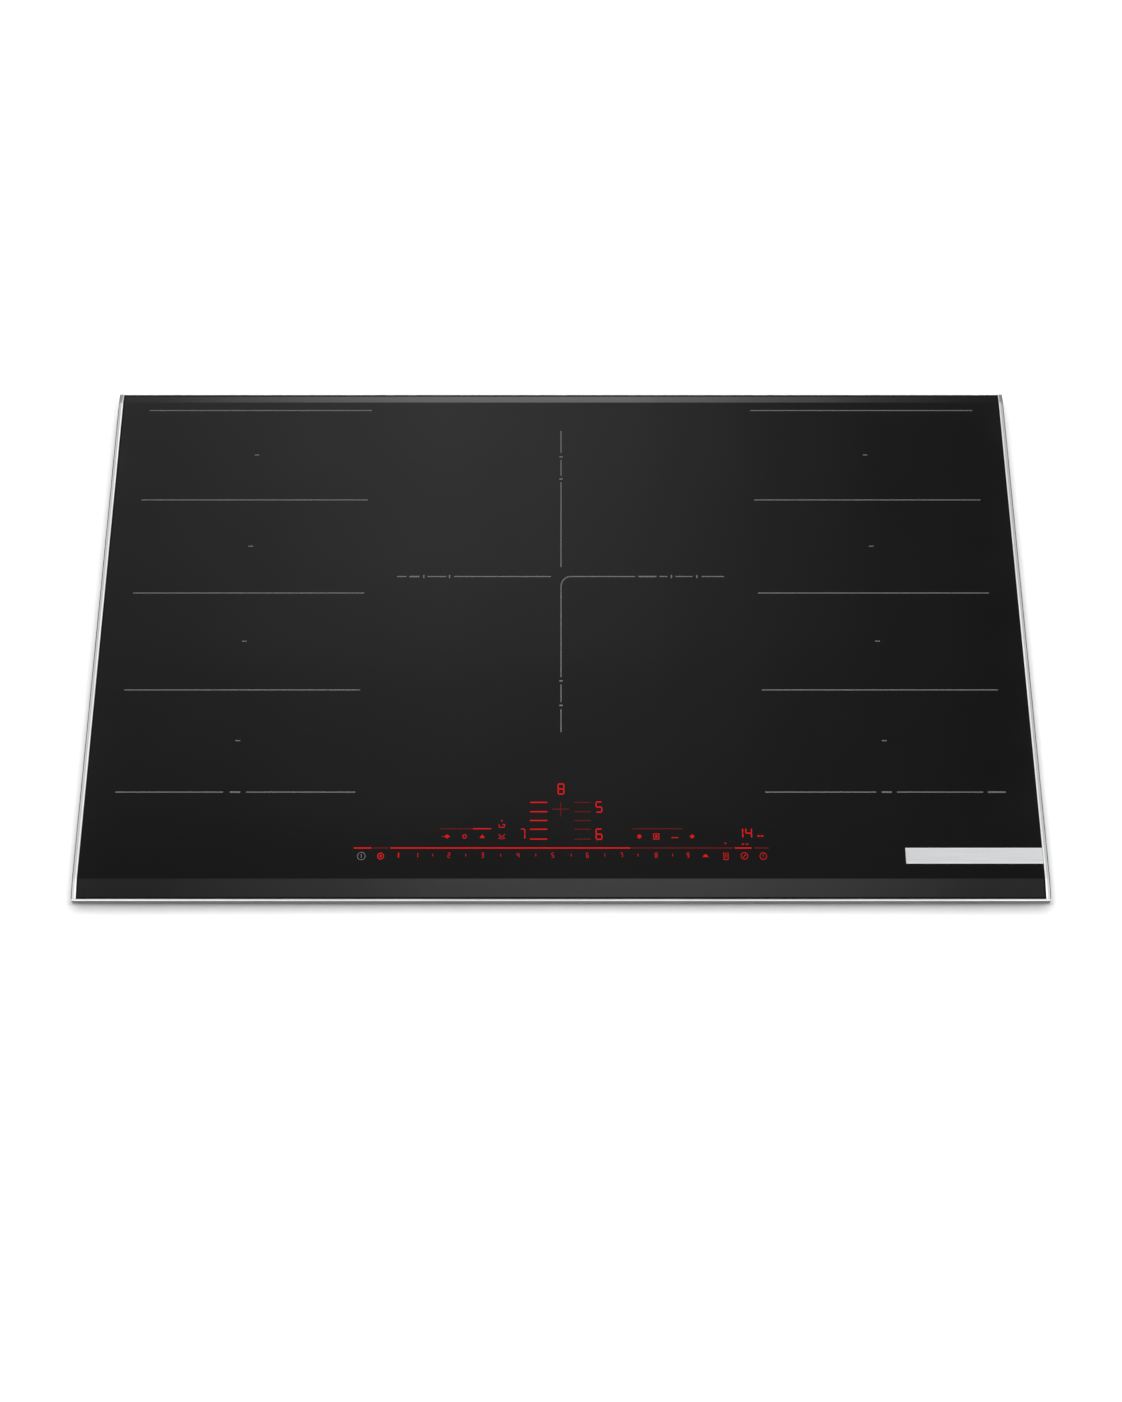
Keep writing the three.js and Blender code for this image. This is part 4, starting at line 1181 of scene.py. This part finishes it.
# Soft panels of the studio: strength, then (slope, brightness) stops across and along, where a slope is how
# far a direction leans to the right, or to the rear, for each unit that it rises.
OVERHEAD = (
    0.97,
    [(-0.75, 0.4), (-0.333, 0.55), (-0.246, 0.70), (-0.183, 0.84), (-0.088, 1.0), (-0.03, 0.9), (0.047, 0.75),
     (0.11, 0.53), (0.19, 0.29), (0.268, 0.14), (0.335, 0.06), (0.75, 0.1)],
    [(0.10, 0.0), (0.165, 0.05), (0.2315, 0.19), (0.2927, 0.26), (0.356, 0.42), (0.4215, 0.52), (0.531, 0.64),
     (0.7, 0.6), (0.9, 0.0)],
)
FRONT_FACET_PANEL = (
    1.05,
    [(-0.75, 0.6), (-0.3, 0.23), (-0.221, 0.42), (-0.164, 0.52), (-0.079, 0.86), (-0.029, 0.93), (0.042, 1.0),
     (0.099, 0.93), (0.17, 0.78), (0.242, 0.57), (0.302, 0.34), (0.75, 0.6)],
    [(-0.14, 0.6), (-0.077, 0.9), (-0.057, 1.16), (-0.02, 0.9), (0.09, 0.0)],
)
NEAR_PANEL = (
    0.9,
    [(-1.5, 0.1), (-0.9, 0.4), (-0.45, 1.0), (0.45, 1.0), (0.9, 0.4), (1.5, 0.1)],
    [(-2.2, 0.0), (-1.2, 0.6), (-0.8, 1.0), (-0.25, 1.0), (-0.10, 0.0)],
)
REAR_FACET_PANEL = (
    2.75,
    [(-0.75, 0.05), (-0.49, 0.19), (-0.364, 0.49), (-0.27, 0.74), (-0.13, 1.0), (0.069, 1.0), (0.163, 0.73),
     (0.28, 0.44), (0.397, 0.17), (0.496, 0.06), (0.75, 0.02)],
    [(1.0, 0.0), (1.2, 1.0), (1.48, 1.0), (1.7, 0.0)],
)
REAR_STRIP = (
    0.13,
    [(-0.6, 1.0), (-0.33, 1.0), (-0.2, 0.0), (0.2, 0.0), (0.3, 1.0), (0.6, 1.0)],
    [(0.531, 0.0), (0.534, 1.0), (0.541, 1.0), (0.56, 0.0)],
)
SIDE_PANELS = (
    1.5,
    [(0.355, 0.0), (0.42, 1.0), (0.64, 1.0), (0.9, 0.3), (1.3, 0.0)],
    [(-0.9, 0.0), (-0.4, 1.0), (0.85, 1.0), (1.12, 0.0)],
)
LOW_ACROSS = [(-0.95, 1.0), (-0.55, 0.3), (-0.12, 1.0), (0.12, 1.0), (0.55, 0.3), (0.95, 1.0)]


def low_glow(nodes, x, y, z):
    """Even light near the horizon, darker to the rear and between the front and the sides."""
    glow = nodes.ramp(z, [(0.0, 0.42), (0.70, 0.42), (0.82, 0.07), (1.0, 0.07)], 0.0, 1.0)
    rearward = nodes.ramp(y, [(0.45, 0.0), (0.6, 0.9)], 0.0, 1.0)
    raised = nodes.ramp(z, [(0.35, 0.0), (0.5, 1.0)], 0.0, 1.0)
    dark = nodes.calc("MULTIPLY", rearward, raised)
    glow = nodes.calc("MULTIPLY", glow, nodes.calc("SUBTRACT", 1.0, dark))
    return nodes.calc("MULTIPLY", glow, nodes.ramp(x, LOW_ACROSS, -1.0, 1.0))


def sky():
    """Soft surroundings, dark overhead, with panels in front, behind and to either side."""
    world = bpy.data.worlds.new("studio")
    world.use_nodes = True
    scene.world = world
    nodes = Nodes(world.node_tree)
    calc, ramp = nodes.calc, nodes.ramp
    where = nodes.node("ShaderNodeTexCoord")
    axes = nodes.node("ShaderNodeSeparateXYZ")
    nodes.link(where.outputs["Generated"], axes.inputs["Vector"])
    x, y, z = (axes.outputs[axis] for axis in "XYZ")
    rise = calc("MAXIMUM", z, 0.05)
    slope_x, slope_y = calc("DIVIDE", x, rise), calc("DIVIDE", y, rise)

    def panel(source, low, high, strength, across, along):
        across, along = ramp(source, across, low, high), ramp(slope_y, along, -2.5, 2.5)
        return calc("MULTIPLY", calc("MULTIPLY", across, along), strength)

    total = low_glow(nodes, x, y, z)
    for stops in (OVERHEAD, FRONT_FACET_PANEL, NEAR_PANEL, REAR_FACET_PANEL, REAR_STRIP):
        total = calc("ADD", total, panel(slope_x, -2.0, 2.0, *stops))
    total = calc("ADD", total, panel(calc("ABSOLUTE", slope_x), 0.0, 2.0, *SIDE_PANELS))
    # matt surfaces are lit by an even glow, shiny ones see the panels
    matt = nodes.node("ShaderNodeLightPath").outputs["Is Diffuse Ray"]
    seen = calc("MULTIPLY", total, calc("SUBTRACT", 1.0, matt))
    total = calc("ADD", seen, calc("MULTIPLY", matt, AMBIENT))
    background = nodes.tree.nodes["Background"].inputs
    background["Color"].default_value = (1.0, 1.0, 1.0, 1.0)
    nodes.link(total, background["Strength"])


def softbox():
    """A round soft lamp above, which lights the floor and casts the tight shadow round the edge."""
    light = bpy.data.lights.new("softbox", "AREA")
    light.shape, light.size, light.energy = "DISK", LAMP_SIZE, LAMP_POWER
    made = bpy.data.objects.new("softbox", light)
    made.location = LAMP_PLACE
    made.visible_glossy = made.visible_camera = False
    scene.collection.objects.link(made)


def camera():
    data = bpy.data.cameras.new("camera")
    data.lens, data.clip_start, data.clip_end = CAMERA_LENS, 0.05, 60.0
    made = bpy.data.objects.new("camera", data)
    made.location = CAMERA_PLACE
    made.rotation_euler = (math.radians(CAMERA_TILT), 0.0, 0.0)
    scene.collection.objects.link(made)
    scene.camera = made


camera()
glass_top()
for side, hand in SIDES:
    side_trim(side, hand)
front_trim()
for side, hand in SIDES:
    side_joint(side, hand)
front_joint()
badge()
flex_marks()
centre_marks()
display()
casing()
screws()
clip_mounts()
spring_clips()
cable_gland()
windings()
ferrite_bars()
finish_cad_nodes()
floor()
surround()
sky()
softbox()
scene.view_settings.view_transform = "Standard"
